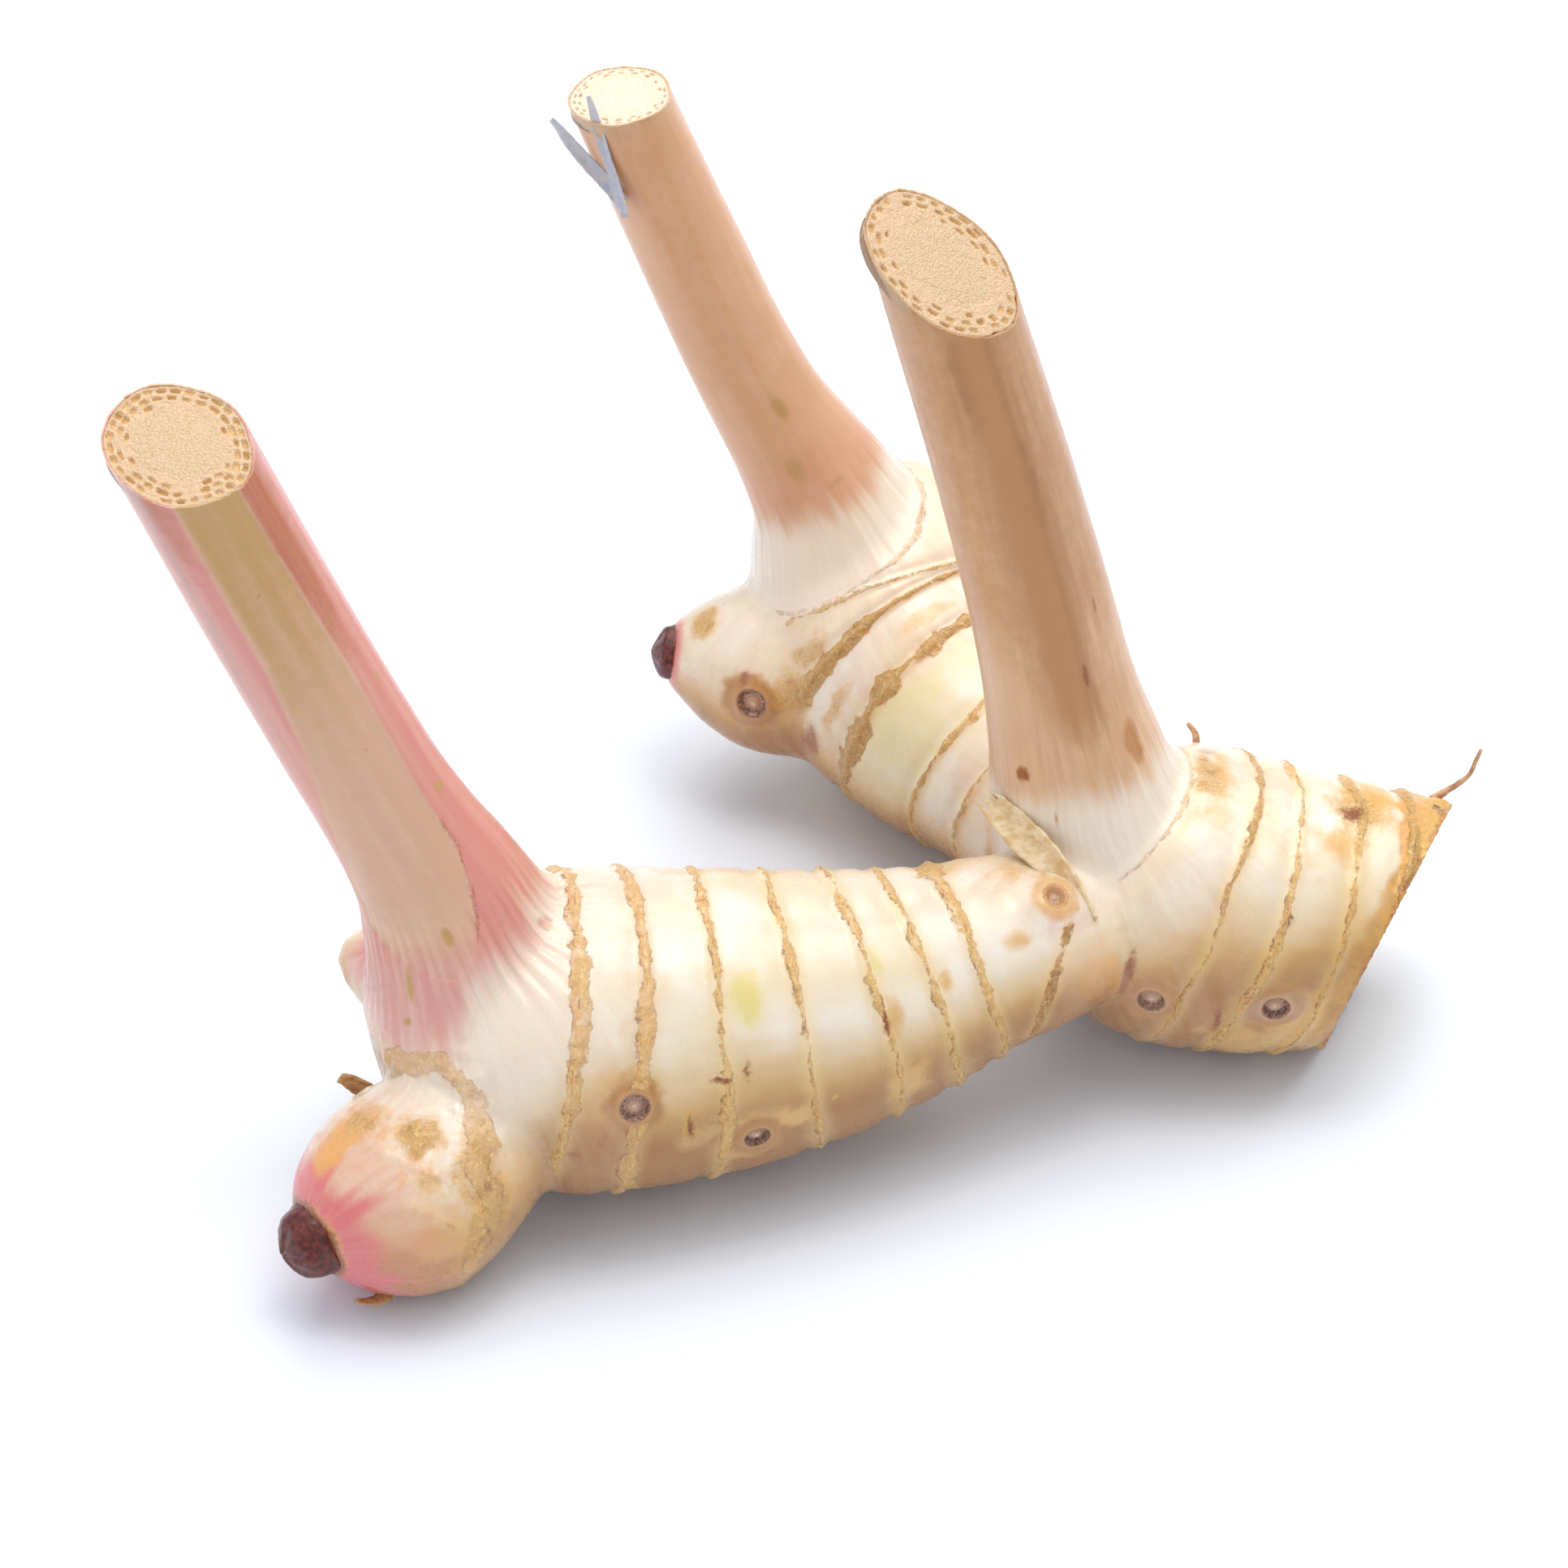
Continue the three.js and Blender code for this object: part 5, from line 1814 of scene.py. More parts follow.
@dataclass(frozen=True)
class SkinFinish:
    """The waxy skin of the rhizome or of a shoot, with its tints and its crusty rings."""

    name: str
    light: Colour = srgb(240, 228, 212)
    shade: Colour = srgb(234, 215, 183)
    # Painted shade colours for the skin that faces down.
    painted_shade_tan: Colour = srgb(218, 175, 104)
    painted_shade_brown: Colour = srgb(172, 116, 50)
    fibre: float = 0.4
    streak: Colour = srgb(222, 176, 148)
    tan: Colour = srgb(220, 174, 104)
    gold: Colour = srgb(230, 172, 78)
    orange: Colour = srgb(240, 174, 90)
    rust: Colour = srgb(152, 80, 22)
    pink: Colour = srgb(226, 112, 116)
    stain: Colour = srgb(226, 208, 132)
    white: Colour = srgb(240, 223, 202)
    mauve: Colour = srgb(196, 156, 132)
    olive: Colour = srgb(190, 150, 86)
    bruise: Colour = srgb(184, 130, 70)
    crust: Colour = srgb(214, 160, 84)
    crust_pale: Colour = srgb(242, 207, 138)
    crust_edge: Colour = srgb(138, 84, 34)
    scar_core: Colour = srgb(208, 164, 140)
    scar_dark: Colour = srgb(96, 44, 22)
    roughness: float = 0.28
    FOOT: ClassVar[Colour] = srgb(238, 220, 196)
    FOOT_PINK: ClassVar[Colour] = srgb(222, 146, 138)

    def tinted(
        self, graph: Graph, base: Wire, tint: Tint, colour: Colour, soft: float, grain: Wire
    ) -> Wire:
        """Lays one tint over a colour, its edges broken by a grain.

        Args:
            graph: The material's nodes.
            base: The colour so far.
            tint: The patches' name.
            colour: Their colour.
            soft: How much the grain breaks their edges.
            grain: The noise that breaks them.

        Returns:
            The new colour.
        """
        raw = graph.value(tint.value) + (grain - 0.5) * soft
        held = graph.rise(raw, 0.12, 0.88)
        present = graph.rise(graph.value(tint.value), 0.0, 0.08)
        return graph.mix(base, colour, held * present)

    def build(self) -> Material:
        """Makes the material.

        Returns:
            The material.
        """
        graph = Graph(self.name)
        broad = graph.noise(9.0, detail=3.0)
        mid = graph.noise(1.5, detail=4.0, rough=0.6)
        fine = graph.noise(0.42, detail=4.0, rough=0.65)
        grit = graph.noise(0.16, detail=2.0)
        straight = graph.scaled(graph.vector("straight"), (1.0, 1.0, 0.06))
        grained = graph.value("grain")
        fibres = graph.noise(0.55, straight, detail=4.0, rough=0.6)
        fibres = 0.5 + (fibres - 0.5) * grained

        base = graph.mix(self.light, self.shade, graph.rise(broad, 0.3, 0.75))
        # Painted shade: the skin that faces down is mixed toward tan, then deep brown.
        under = graph.value("under")
        low = graph.mix(self.painted_shade_tan, self.painted_shade_brown, graph.rise(under, 0.4, 1.2))
        base = graph.mix(base, low, graph.rise(under, 0.0, 0.8) * 0.97)
        joined = graph.rise(graph.value("join"), 0.0, 0.75)
        base = graph.mix(base, self.FOOT, joined)
        pink = graph.mix(self.pink, self.FOOT_PINK, joined)
        ring = graph.value("ring")
        hold = graph.value("hold")
        halo = graph.rise(ring, 2.2, 0.0) * hold
        base = graph.mix(base, self.crust_pale, halo * 0.5)
        for tint, colour, soft, grain in (
            (Tint.STAIN, self.stain, 0.3, mid),
            (Tint.WHITE, self.white, 0.3, fibres),
            (Tint.TAN, self.tan, 0.5, mid),
            (Tint.BRUISE, self.bruise, 0.5, fibres),
            (Tint.PINK, pink, 0.25, fibres),
            (Tint.OLIVE, self.olive, 0.2, mid),
            (Tint.ORANGE, self.orange, 0.6, mid),
            (Tint.MAUVE, self.mauve, 0.4, mid),
        ):
            base = self.tinted(graph, base, tint, colour, soft, grain)

        flaky = graph.rise(graph.noise(0.6, detail=4.0, rough=0.7), 0.4, 0.62)
        rough_grain = mid * 0.6 + fine * 0.4
        golden = self.tinted(graph, base, Tint.GOLD, self.gold, 1.6, rough_grain)
        gold_held = graph.rise(graph.value(Tint.GOLD.value), 0.25, 0.85)
        base = graph.mix(base, golden, 0.85)
        base = graph.mix(base, self.crust_pale, gold_held * flaky * 0.75)
        base, crusty, edge = self.crusts(graph, base, mid, fine, flaky)
        base = self.tinted(graph, base, Tint.RUST, self.rust, 1.1, fine)
        vein = graph.math("ABSOLUTE", graph.noise(0.8, detail=3.0, rough=0.6) - 0.5)
        cracked = graph.most(crusty, gold_held) * graph.rise(mid, 0.5, 0.6)
        cracks = graph.rise(vein, 0.03, 0.004) * cracked
        base = graph.mix(base, self.crust_edge, cracks * 0.55)

        pore_near = graph.rise(graph.cells(0.95), 0.13, 0.07)
        pore_zone = graph.most(crusty * 0.7, graph.value(Tint.TAN.value) * 0.3)
        pore_zone = graph.most(pore_zone, gold_held)
        pores = pore_near * (pore_zone * graph.rise(mid, 0.48, 0.62))
        base = graph.mix(base, self.rust, pores * 0.6)

        base, root_dark = self.root_scars(graph, base, fine)
        streaky = graph.rise(fibres, 0.3, 0.7)
        pale = 1.0 + graph.value(Tint.WHITE.value) * -0.6
        streaky = streaky * (grained * (pale * self.fibre))
        base = graph.mix(base, graph.mix(base, self.streak, 0.7), streaky)

        relief = crusty * (0.03 + graph.most(fine, flaky) * 0.1)
        relief += gold_held * (flaky * 0.14)
        relief += gold_held * (fine * 0.22)
        relief += fine * 0.006
        relief += grit * 0.003
        relief += fibres * (0.016 + 0.03 * self.fibre)
        relief += pores * -0.05
        relief += cracks * -0.07
        relief += edge * -0.05
        relief += root_dark * -0.08
        rough = self.roughness + graph.most(crusty, gold_held) * 0.22
        rough += (mid - 0.5) * 0.14
        graph.finish(base, rough, relief)
        graph.shader.inputs["Coat Weight"].default_value = 0.25
        graph.shader.inputs["Coat Roughness"].default_value = 0.14
        graph.soften(0.35, 2.4)
        apart = 1.0 - graph.value("join")
        graph.put(graph.shader.inputs["Subsurface Weight"], apart * 0.35)
        return graph.material

    def crusts(
        self, graph: Graph, base: Wire, mid: Wire, fine: Wire, flaky: Wire
    ) -> tuple[Wire, Wire, Wire]:
        """Colours the crusty lines: a thin ragged band with a broken brown edge on one side.

        Args:
            graph: The material's nodes.
            base: The colour so far.
            mid: Middling noise.
            fine: Fine noise.
            flaky: Where the crust flakes.

        Returns:
            The new colour, how crusty each point is, and where the brown edge is.
        """
        ring = graph.value("ring")
        crust = graph.value("crust")
        hold = graph.value("hold")
        wander = (mid - 0.5) * 1.3 + (fine - 0.5) * 0.9
        reach = graph.math("MINIMUM", crust * 0.9, 1.0)
        raw = crust * 0.5 - ring + wander * reach
        patchy = graph.rise(graph.noise(1.7, detail=4.0, rough=0.65), 0.3, 0.56)
        crusty = graph.rise(raw, -0.1, 0.16) * hold * (0.55 + patchy * 0.45)
        colour = graph.mix(self.crust, self.crust_pale, flaky * 0.75)
        base = graph.mix(base, colour, crusty)
        lee = graph.rise(graph.value("lee"), -0.6, 0.5)
        near = graph.rise(graph.math("ABSOLUTE", raw), 0.14, 0.03)
        broken = graph.rise(graph.noise(1.3, detail=3.0, rough=0.7), 0.46, 0.6)
        edge = near * broken * ((0.35 + lee * 0.65) * hold)
        line = graph.rise(graph.math("ABSOLUTE", ring + wander * 0.12), 0.16, 0.03)
        line = line * graph.rise(graph.noise(2.4, detail=3.0), 0.46, 0.6) * hold
        base = graph.mix(base, self.crust_edge, graph.most(edge, line) * 0.75)
        return base, crusty, edge

    def root_scars(self, graph: Graph, base: Wire, fine: Wire) -> tuple[Wire, Wire]:
        """Colours the round root scars and the eye.

        Args:
            graph: The material's nodes.
            base: The colour so far.
            fine: Fine noise.

        Returns:
            The new colour, and how dark the scar's pits are.
        """
        parts = graph.node("ShaderNodeSeparateXYZ", {0: graph.vector("scar")})
        u, v, share = (Wire(graph, part) for part in parts.outputs)
        away = share + (fine - 0.5) * 0.45
        spokes = graph.math("SINE", graph.math("ARCTAN2", v, u) * 15.0)
        eye = graph.value("eye")
        scar = 1.0 - eye
        core = graph.rise(away, 1.1, 0.95) * scar
        base = graph.mix(base, self.scar_core, core)
        ticks_zone = graph.rise(away, 0.4, 0.52) * graph.rise(away, 0.82, 0.7)
        ticks = ticks_zone * graph.rise(spokes, 0.2, 0.8) * scar
        gaps = ticks_zone * graph.rise(spokes, -0.1, -0.7) * scar
        rim = graph.rise(away, 0.62, 0.78) * graph.rise(away, 1.16, 1.0) * scar
        middle = graph.rise(away, 0.2, 0.12) * scar
        around = graph.rise(away, 0.14, 0.22) * graph.rise(away, 0.4, 0.28) * scar
        collar = graph.rise(away, 1.02, 1.12) * graph.rise(away, 1.5, 1.2) * scar
        base = graph.mix(base, self.crust_pale, collar * 0.15)
        base = graph.mix(base, self.crust_pale, graph.most(ticks, middle) * 0.45)
        ragged = 0.45 + graph.rise(fine, 0.42, 0.58) * 0.5
        dark = graph.most(gaps * 0.3, graph.most(rim * ragged, around * 0.3))
        base = graph.mix(base, self.scar_dark, dark)
        pit = graph.rise(away, 0.2, 0.34) * graph.rise(away, 0.66, 0.5) * eye
        base = graph.mix(base, self.bruise, pit * 0.85)
        nub = graph.rise(away, 0.24, 0.16) * eye
        base = graph.mix(base, self.mauve, nub)
        return base, graph.most(dark, pit)


@dataclass(frozen=True)
class CutFinish:
    """The cut face of a shoot: pale walls, honey-brown chambers and a granular core."""

    name: str
    wall: Colour = srgb(222, 187, 150)
    core: Colour = srgb(208, 174, 130)
    core_light: Colour = srgb(222, 199, 164)
    chamber: Colour = srgb(228, 188, 130)
    # Painted shade colour for the deepest parts of the chambers.
    chamber_shade: Colour = srgb(216, 168, 106)
    skin: Colour = srgb(158, 112, 72)

    def build(self) -> Material:
        """Makes the material.

        Returns:
            The material.
        """
        graph = Graph(self.name)
        share = graph.value("share")
        pit = graph.value("pit")
        grains = graph.cells(0.25)
        fine = graph.noise(0.3, detail=3.0, rough=0.6)
        mid = graph.noise(1.4, detail=3.0)
        core = graph.mix(self.core, self.core_light, graph.rise(grains, 0.6, 0.2))
        core = graph.mix(core, self.wall, graph.rise(mid, 0.4, 0.7) * 0.5)
        wall = graph.mix(self.wall, self.core, graph.rise(fine, 0.4, 0.75))
        base = graph.mix(core, wall, graph.rise(share, 0.56, 0.64))
        vessel_zone = graph.rise(share, 0.6, 0.5)
        vessels = graph.rise(graph.cells(0.9), 0.16, 0.08) * vessel_zone
        base = graph.mix(base, self.chamber, vessels * 0.25)
        base = graph.mix(base, self.chamber, graph.rise(pit, 0.1, 0.45))
        # Painted shade: the deepest parts of the chambers are darker.
        base = graph.mix(base, self.chamber_shade, graph.rise(pit, 0.55, 1.0) * 0.7)
        edge = share + (mid - 0.5) * 0.03
        base = graph.mix(base, self.skin, graph.rise(edge, 0.968, 0.992) * 0.8)
        relief = grains * -0.1 + fine * 0.05
        rough = 0.22 + fine * 0.25
        graph.finish(base, rough, relief)
        graph.soften(0.25, 1.2, (1.0, 0.7, 0.4))
        return graph.material


@dataclass(frozen=True)
class EndFinish:
    """The dried cut end of the rhizome: a brown rim round pale dotted flesh."""

    name: str
    flesh: Colour = srgb(232, 206, 158)
    middle: Colour = srgb(222, 190, 136)
    strand: Colour = srgb(160, 112, 64)
    rim: Colour = srgb(150, 98, 58)
    blush: Colour = srgb(214, 130, 88)

    def build(self) -> Material:
        """Makes the material.

        Returns:
            The material.
        """
        graph = Graph(self.name)
        share = graph.value("share")
        fine = graph.noise(0.35, detail=4.0, rough=0.65)
        mid = graph.noise(2.4, detail=4.0)
        base = graph.mix(self.flesh, self.middle, graph.rise(share, 0.66, 0.58))
        line = graph.rise(share, 0.585, 0.605) * graph.rise(share, 0.64, 0.62)
        base = graph.mix(base, self.strand, line * 0.7)
        strands = graph.rise(graph.cells(1.15), 0.2, 0.1)
        base = graph.mix(base, self.strand, strands * 0.75)
        base = graph.mix(base, self.blush, graph.rise(mid, 0.55, 0.75) * 0.5)
        worn = share + (mid - 0.5) * 0.3
        base = graph.mix(base, self.rim, graph.rise(worn, 0.8, 0.98))
        relief = fine * 0.16 + strands * 0.14
        graph.finish(base, 0.5 + fine * 0.3, relief)
        graph.soften(0.12, 1.5)
        return graph.material


@dataclass(frozen=True)
class HuskFinish:
    """Dry tissue: a bud's cap, a scale leaf, a shred or a rootlet."""

    name: str
    main: Colour
    other: Colour
    fleck: Colour
    flecks: float
    roughness: float
    grain: Spot = (1.0, 1.0, 1.0)
    grain_size: float = 0.7
    clear: float = 0.0

    def build(self) -> Material:
        """Makes the material.

        Returns:
            The material.
        """
        graph = Graph(self.name)
        stretched = graph.scaled(graph.place(), self.grain)
        grain = graph.noise(self.grain_size, stretched, detail=4.0, rough=0.6)
        fine = graph.noise(0.22, detail=3.0)
        base = graph.mix(self.main, self.other, graph.rise(grain, 0.35, 0.68))
        spots = graph.rise(graph.noise(0.45, detail=4.0, rough=0.7), 0.66, 0.72)
        base = graph.mix(base, self.fleck, spots * self.flecks)
        relief = grain * 0.1 + fine * 0.04
        graph.finish(base, self.roughness + (fine - 0.5) * 0.2, relief)
        if self.clear > 0.0:
            graph.soften(self.clear, 1.0)
        return graph.material


FINISHES = {
    "rhizome": SkinFinish("rhizome_skin"),
    "stem_front": SkinFinish(
        "front_shoot_sheath",
        roughness=0.33,
        light=srgb(232, 196, 164),
        shade=srgb(224, 180, 146),
        fibre=0.3,
        streak=srgb(214, 168, 132),
        tan=srgb(216, 172, 140),
        olive=srgb(196, 152, 84),
        orange=srgb(190, 106, 72),
        mauve=srgb(184, 140, 134),
        pink=srgb(220, 140, 130),
    ),
    "stem_middle": SkinFinish(
        "middle_shoot_sheath",
        roughness=0.33,
        light=srgb(224, 182, 140),
        shade=srgb(210, 160, 114),
        fibre=0.45,
        streak=srgb(190, 136, 88),
        tan=srgb(196, 144, 96),
        olive=srgb(190, 130, 70),
        bruise=srgb(150, 92, 34),
    ),
    "stem_rear": SkinFinish(
        "rear_shoot_sheath",
        roughness=0.33,
        light=srgb(224, 176, 138),
        shade=srgb(216, 164, 120),
        fibre=0.3,
        streak=srgb(206, 152, 108),
        tan=srgb(204, 150, 104),
        orange=srgb(222, 162, 116),
        pink=srgb(226, 156, 142),
    ),
    "cut": CutFinish("shoot_cut_face"),
    "pale_cut": CutFinish(
        "pale_shoot_cut_face",
        wall=srgb(240, 220, 192),
        core=srgb(234, 216, 190),
        core_light=srgb(246, 236, 220),
        chamber=srgb(226, 194, 150),
        chamber_shade=srgb(200, 158, 108),
    ),
    "end": EndFinish("rhizome_cut_end"),
    "tip": HuskFinish(
        "dry_bud_tip", srgb(72, 22, 20), srgb(122, 48, 30), srgb(176, 150, 140), 0.3, 0.26
    ),
    "scale": HuskFinish(
        "papery_scale",
        srgb(238, 216, 178),
        srgb(214, 178, 124),
        srgb(250, 238, 214),
        0.5,
        0.4,
        (0.5, 1.0, 1.0),
        1.2,
        clear=0.3,
    ),
    "flake": HuskFinish(
        "crust_flake", srgb(206, 164, 112), srgb(164, 116, 70), srgb(110, 70, 40), 0.5, 0.6, clear=0.15
    ),
    "shred": HuskFinish(
        "dried_sheath_fibre",
        srgb(184, 190, 208),
        srgb(206, 200, 198),
        srgb(110, 98, 96),
        0.5,
        0.5,
        clear=0.15,
    ),
    "rootlet": HuskFinish(
        "dried_rootlet", srgb(214, 172, 134), srgb(168, 120, 84), srgb(126, 84, 56), 0.4, 0.5
    ),
}


def dress(obj: Piece, material: Material, slot: str, *nodes: str) -> None:
    """Gives a piece its material and body, and hides the nodes that it stands for.

    Args:
        obj: The piece.
        material: Its material.
        slot: Not used.
        *nodes: The CAD nodes that it replaces.
    """
    obj.data.materials.clear()
    obj.data.materials.append(material)
    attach(obj, BODY)
    if nodes:
        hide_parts(*nodes)


def cap_border(obj: Piece) -> None:
    """Closes each open border with faces that meet at its middle.

    Args:
        obj: The piece.
    """
    alone(obj)
    bpy.ops.object.mode_set(mode="EDIT")
    bpy.ops.mesh.select_mode(type="EDGE")
    bpy.ops.mesh.select_all(action="DESELECT")
    bpy.ops.mesh.select_non_manifold(
        extend=False,
        use_wire=False,
        use_boundary=True,
        use_multi_face=False,
        use_non_contiguous=False,
        use_verts=False,
    )
    bpy.ops.mesh.mark_sharp()
    bpy.ops.mesh.fill_holes(sides=0)
    bpy.ops.object.mode_set(mode="OBJECT")
    choose_faces(obj, np.array([len(face.vertices) > MANY_SIDES for face in obj.data.polygons]))
    bpy.ops.mesh.poke()
    bpy.ops.object.mode_set(mode="OBJECT")
    face_outward(obj)


def slice_off(obj: Piece, at: Point, out: Point) -> None:
    """Cuts away what lies beyond a plane and closes the cut.

    Args:
        obj: The piece.
        at: A point of the cut.
        out: The way the cut faces.
    """
    alone(obj)
    bpy.ops.object.mode_set(mode="EDIT")
    bpy.ops.mesh.select_all(action="SELECT")
    bpy.ops.mesh.bisect(
        plane_co=world(at), plane_no=Vector(out).normalized(), use_fill=True, clear_outer=True
    )
    bpy.ops.object.mode_set(mode="OBJECT")


def hollow_cut(obj: Piece, at: Point, out: Point, wall: float, depth: float) -> None:
    """Sinks the flat face at a cut, leaving a thin wall that holds the pith.

    Args:
        obj: The piece with the cut.
        at: A point of the cut.
        out: The way the cut faces.
        wall: Thickness of the wall.
        depth: How far the face is sunk.
    """
    facing = Vector(out).normalized()
    middle = world(at)
    chosen = np.array(
        [
            abs((face.center - middle).dot(facing)) < FLAT_GAP and face.normal.dot(facing) > FLAT_FACING
            for face in obj.data.polygons
        ]
    )
    choose_faces(obj, chosen)
    bpy.ops.mesh.region_to_loop()
    bpy.ops.mesh.mark_sharp()
    bpy.ops.object.mode_set(mode="OBJECT")
    choose_faces(obj, chosen)
    bpy.ops.mesh.inset(thickness=wall * MM, depth=0.0)
    bpy.ops.mesh.extrude_region_move(TRANSFORM_OT_translate={"value": facing * (-depth * MM)})
    bpy.ops.object.mode_set(mode="OBJECT")


class Pith:
    """The disc of tissue at a cut, as a plug with a modelled top."""

    AROUND = 220
    DEPTH = 1.8
    STOPS = 72
    SAMPLES = 2000
    NEAR_CUT = 0.03

    def __init__(self, name: str, spine: Spine, at: Point, out: Point, wall: float) -> None:
        """Finds where the spine meets the cut.

        Args:
            name: Name of the piece.
            spine: The shoot's or limb's line.
            at: A point of the cut.
            out: The way the cut faces.
            wall: Thickness of the skin left round it.
        """
        self.name = name
        self.at = np.array(at, float)
        self.out = np.array(out, float) / np.linalg.norm(out)
        samples = np.linspace(0.0, spine.length, self.SAMPLES)
        height = (spine.at(samples).point - self.at) @ self.out
        self.here = spine.at(samples[np.abs(height).argmin()])
        self.wall = wall
        self.edge_at = np.array([0.0])
        self.edge = self.here.radius

    def fit(self, piece: Piece) -> None:
        """Measures how far out the edge of the piece's cut lies at each angle.

        Args:
            piece: The piece with the cut.
        """
        points = points_of(piece)
        on_cut = np.abs((points - self.at) @ self.out) < self.NEAR_CUT
        away = points[on_cut] - self.here.point[0]
        u, v = away @ self.here.up[0], away @ self.here.side[0]
        cell = ((np.arctan2(v, u) / (2.0 * math.pi) + 0.5) * self.STOPS).astype(int) % self.STOPS
        edge = np.zeros(self.STOPS)
        np.maximum.at(edge, cell, np.hypot(u, v))
        found = edge > 0.7 * edge.max()
        self.edge_at = ((np.arange(self.STOPS) + 0.5) / self.STOPS - 0.5)[found] * 2.0 * math.pi
        self.edge = edge[found]

    def shares(self) -> Array:
        """Radii of the rings of vertices, from the rim in.

        Returns:
            Shares of the edge's radius.
        """
        outer = np.linspace(1.0, 0.56, 40)
        inner = np.linspace(0.56, 0.02, 22)[1:]
        return np.concatenate([outer, inner])

    def disc(self) -> Piece:
        """Draws a closed disc of unit radius as a thin drum: rings drawn in, then the rim let down.

        Returns:
            The drum.
        """
        bpy.ops.object.select_all(action="DESELECT")
        bpy.ops.mesh.primitive_circle_add(vertices=self.AROUND, radius=1.0, fill_type="NGON")
        obj = bpy.context.object
        obj.name = self.name
        bpy.ops.object.mode_set(mode="EDIT")
        bpy.ops.mesh.select_all(action="SELECT")
        bpy.ops.mesh.extrude_region_move(TRANSFORM_OT_translate={"value": (0.0, 0.0, 1.0)})
        shares = self.shares()
        for before, share in zip(shares[:-1], shares[1:]):
            bpy.ops.mesh.extrude_region_move()
            shrink = float(share / before)
            bpy.ops.transform.resize(value=(shrink, shrink, 1.0), center_override=(0.0, 0.0, 1.0))
        bpy.ops.object.mode_set(mode="OBJECT")
        face_outward(obj)
        return obj

    def mapped(self, share: Array, angle: Array, drop: Array) -> Array:
        """Points at a share of the radius and an angle, let down under the cut by a drop.

        Args:
            share: Distance out, as a share of the radius.
            angle: Angles round it, in radians from the upper side.
            drop: Depth under the cut.

        Returns:
            Places in millimetres, one to a row.
        """
        here = self.here
        radius = np.interp(angle, self.edge_at, self.edge, period=2.0 * math.pi) - self.wall
        flat = here.point[0] + (share * radius)[:, None] * (
            here.up[0] * np.cos(angle)[:, None] + here.side[0] * np.sin(angle)[:, None]
        )
        along = here.along[0]
        slide = -((flat - self.at) @ self.out) / (along @ self.out)
        return flat + along * slide[:, None] - self.out * drop[:, None]

    def build(self, relief: Relief) -> Piece:
        """Models the plug.

        Args:
            relief: Gives the drop in millimetres and the pit's share at each share and angle.

        Returns:
            The plug, with its share and pit kept for the material.
        """
        obj = self.disc()
        unit = raw_points(obj)
        share = np.hypot(unit[:, 0], unit[:, 1])
        angle = np.arctan2(unit[:, 1], unit[:, 0])
        top = unit[:, 2] > 0.5
        drop, pit = relief(share, angle)
        drop = np.where(top, drop, self.DEPTH)
        place_points(obj, self.mapped(share, angle, drop))
        store(obj, "share", np.where(top, share, 1.0))
        store(obj, "pit", np.where(top, pit, 0.0))
        face_outward(obj)
        shade_smooth(obj)
        return obj


class ShootCut:
    """The relief of a shoot's cut face: rings of air chambers round a granular core."""

    TOP = 0.06
    PIT = 0.5

    def __init__(self, plan: ShootPlan) -> None:
        """Draws the chambers' sizes."""
        self.plan = plan
        self.draw = np.random.default_rng(SEED + len(plan.name))

    def relief(self, share: Array, angle: Array) -> tuple[Array, Array]:
        """The drop under the cut and how much of it is a chamber.

        Args:
            share: Distance out, as a share of the radius.
            angle: Angles round it, in radians from the upper side.

        Returns:
            The drop in millimetres, and the chamber's share from 0 to 1.
        """
        pit = np.zeros(len(share))
        flat = np.stack([share * np.cos(angle) * 7.0, share * np.sin(angle) * 7.0, 0.0 * share], axis=1)
        warp = 0.012 * NOISE.layered(flat + 40.0, 1.6)
        for ring in self.plan.rings:
            widths = self.draw.uniform(0.72, 1.12, ring.count) * ring.share
            heights = self.draw.uniform(0.7, 1.1, ring.count)
            shifts = self.draw.uniform(-0.12, 0.12, ring.count)
            depths = self.draw.uniform(0.55, 1.0, ring.count)
            depths *= self.draw.uniform(0.0, 1.0, ring.count) < ring.present
            turn = (angle / (2.0 * math.pi) + 0.013 * self.draw.uniform()) * ring.count
            cell = np.floor(turn).astype(int) % ring.count
            across = 2.0 * (turn - np.floor(turn) - 0.5) / widths[cell]
            middle = 0.5 * (ring.inner + ring.outer)
            half = 0.5 * (ring.outer - ring.inner) * heights[cell]
            inward = (share + warp - middle - shifts[cell] * half) / half
            inside = 1.0 - (np.abs(across) ** 3 + np.abs(inward) ** 3)
            pit = np.maximum(pit, ramp(inside, 0.0, 0.45) * depths[cell])
        grain = 0.05 * NOISE.at(flat, 0.32) + 0.06 * NOISE.layered(flat, 1.1)
        bulge = -0.1 * ramp(share, 0.62, 0.2)
        drop = self.TOP + self.PIT * pit + grain * ramp(share, 1.0, 0.93) + bulge
        return np.maximum(drop, 0.0), pit


def end_relief(share: Array, angle: Array) -> tuple[Array, Array]:
    """The drop of the rhizome's dried end: a sunken torn face with a standing middle.

    Args:
        share: Distance out, as a share of the radius.
        angle: Angles round it, in radians from the upper side.

    Returns:
        The drop in millimetres, and 0 for the chambers.
    """
    flat = np.stack([share * np.cos(angle) * 14.0, share * np.sin(angle) * 14.0, 0.0 * share], axis=1)
    torn = 0.22 * NOISE.layered(flat + 80.0, 2.4) + 0.1 * NOISE.at(flat, 0.7)
    groove = 0.35 * bell(share - 0.61, 0.025)
    drop = 0.3 + torn + groove + 0.35 * ramp(share, 0.65, 0.95)
    return np.maximum(drop * ramp(share, 1.0, 0.97), 0.02), np.zeros(len(share))


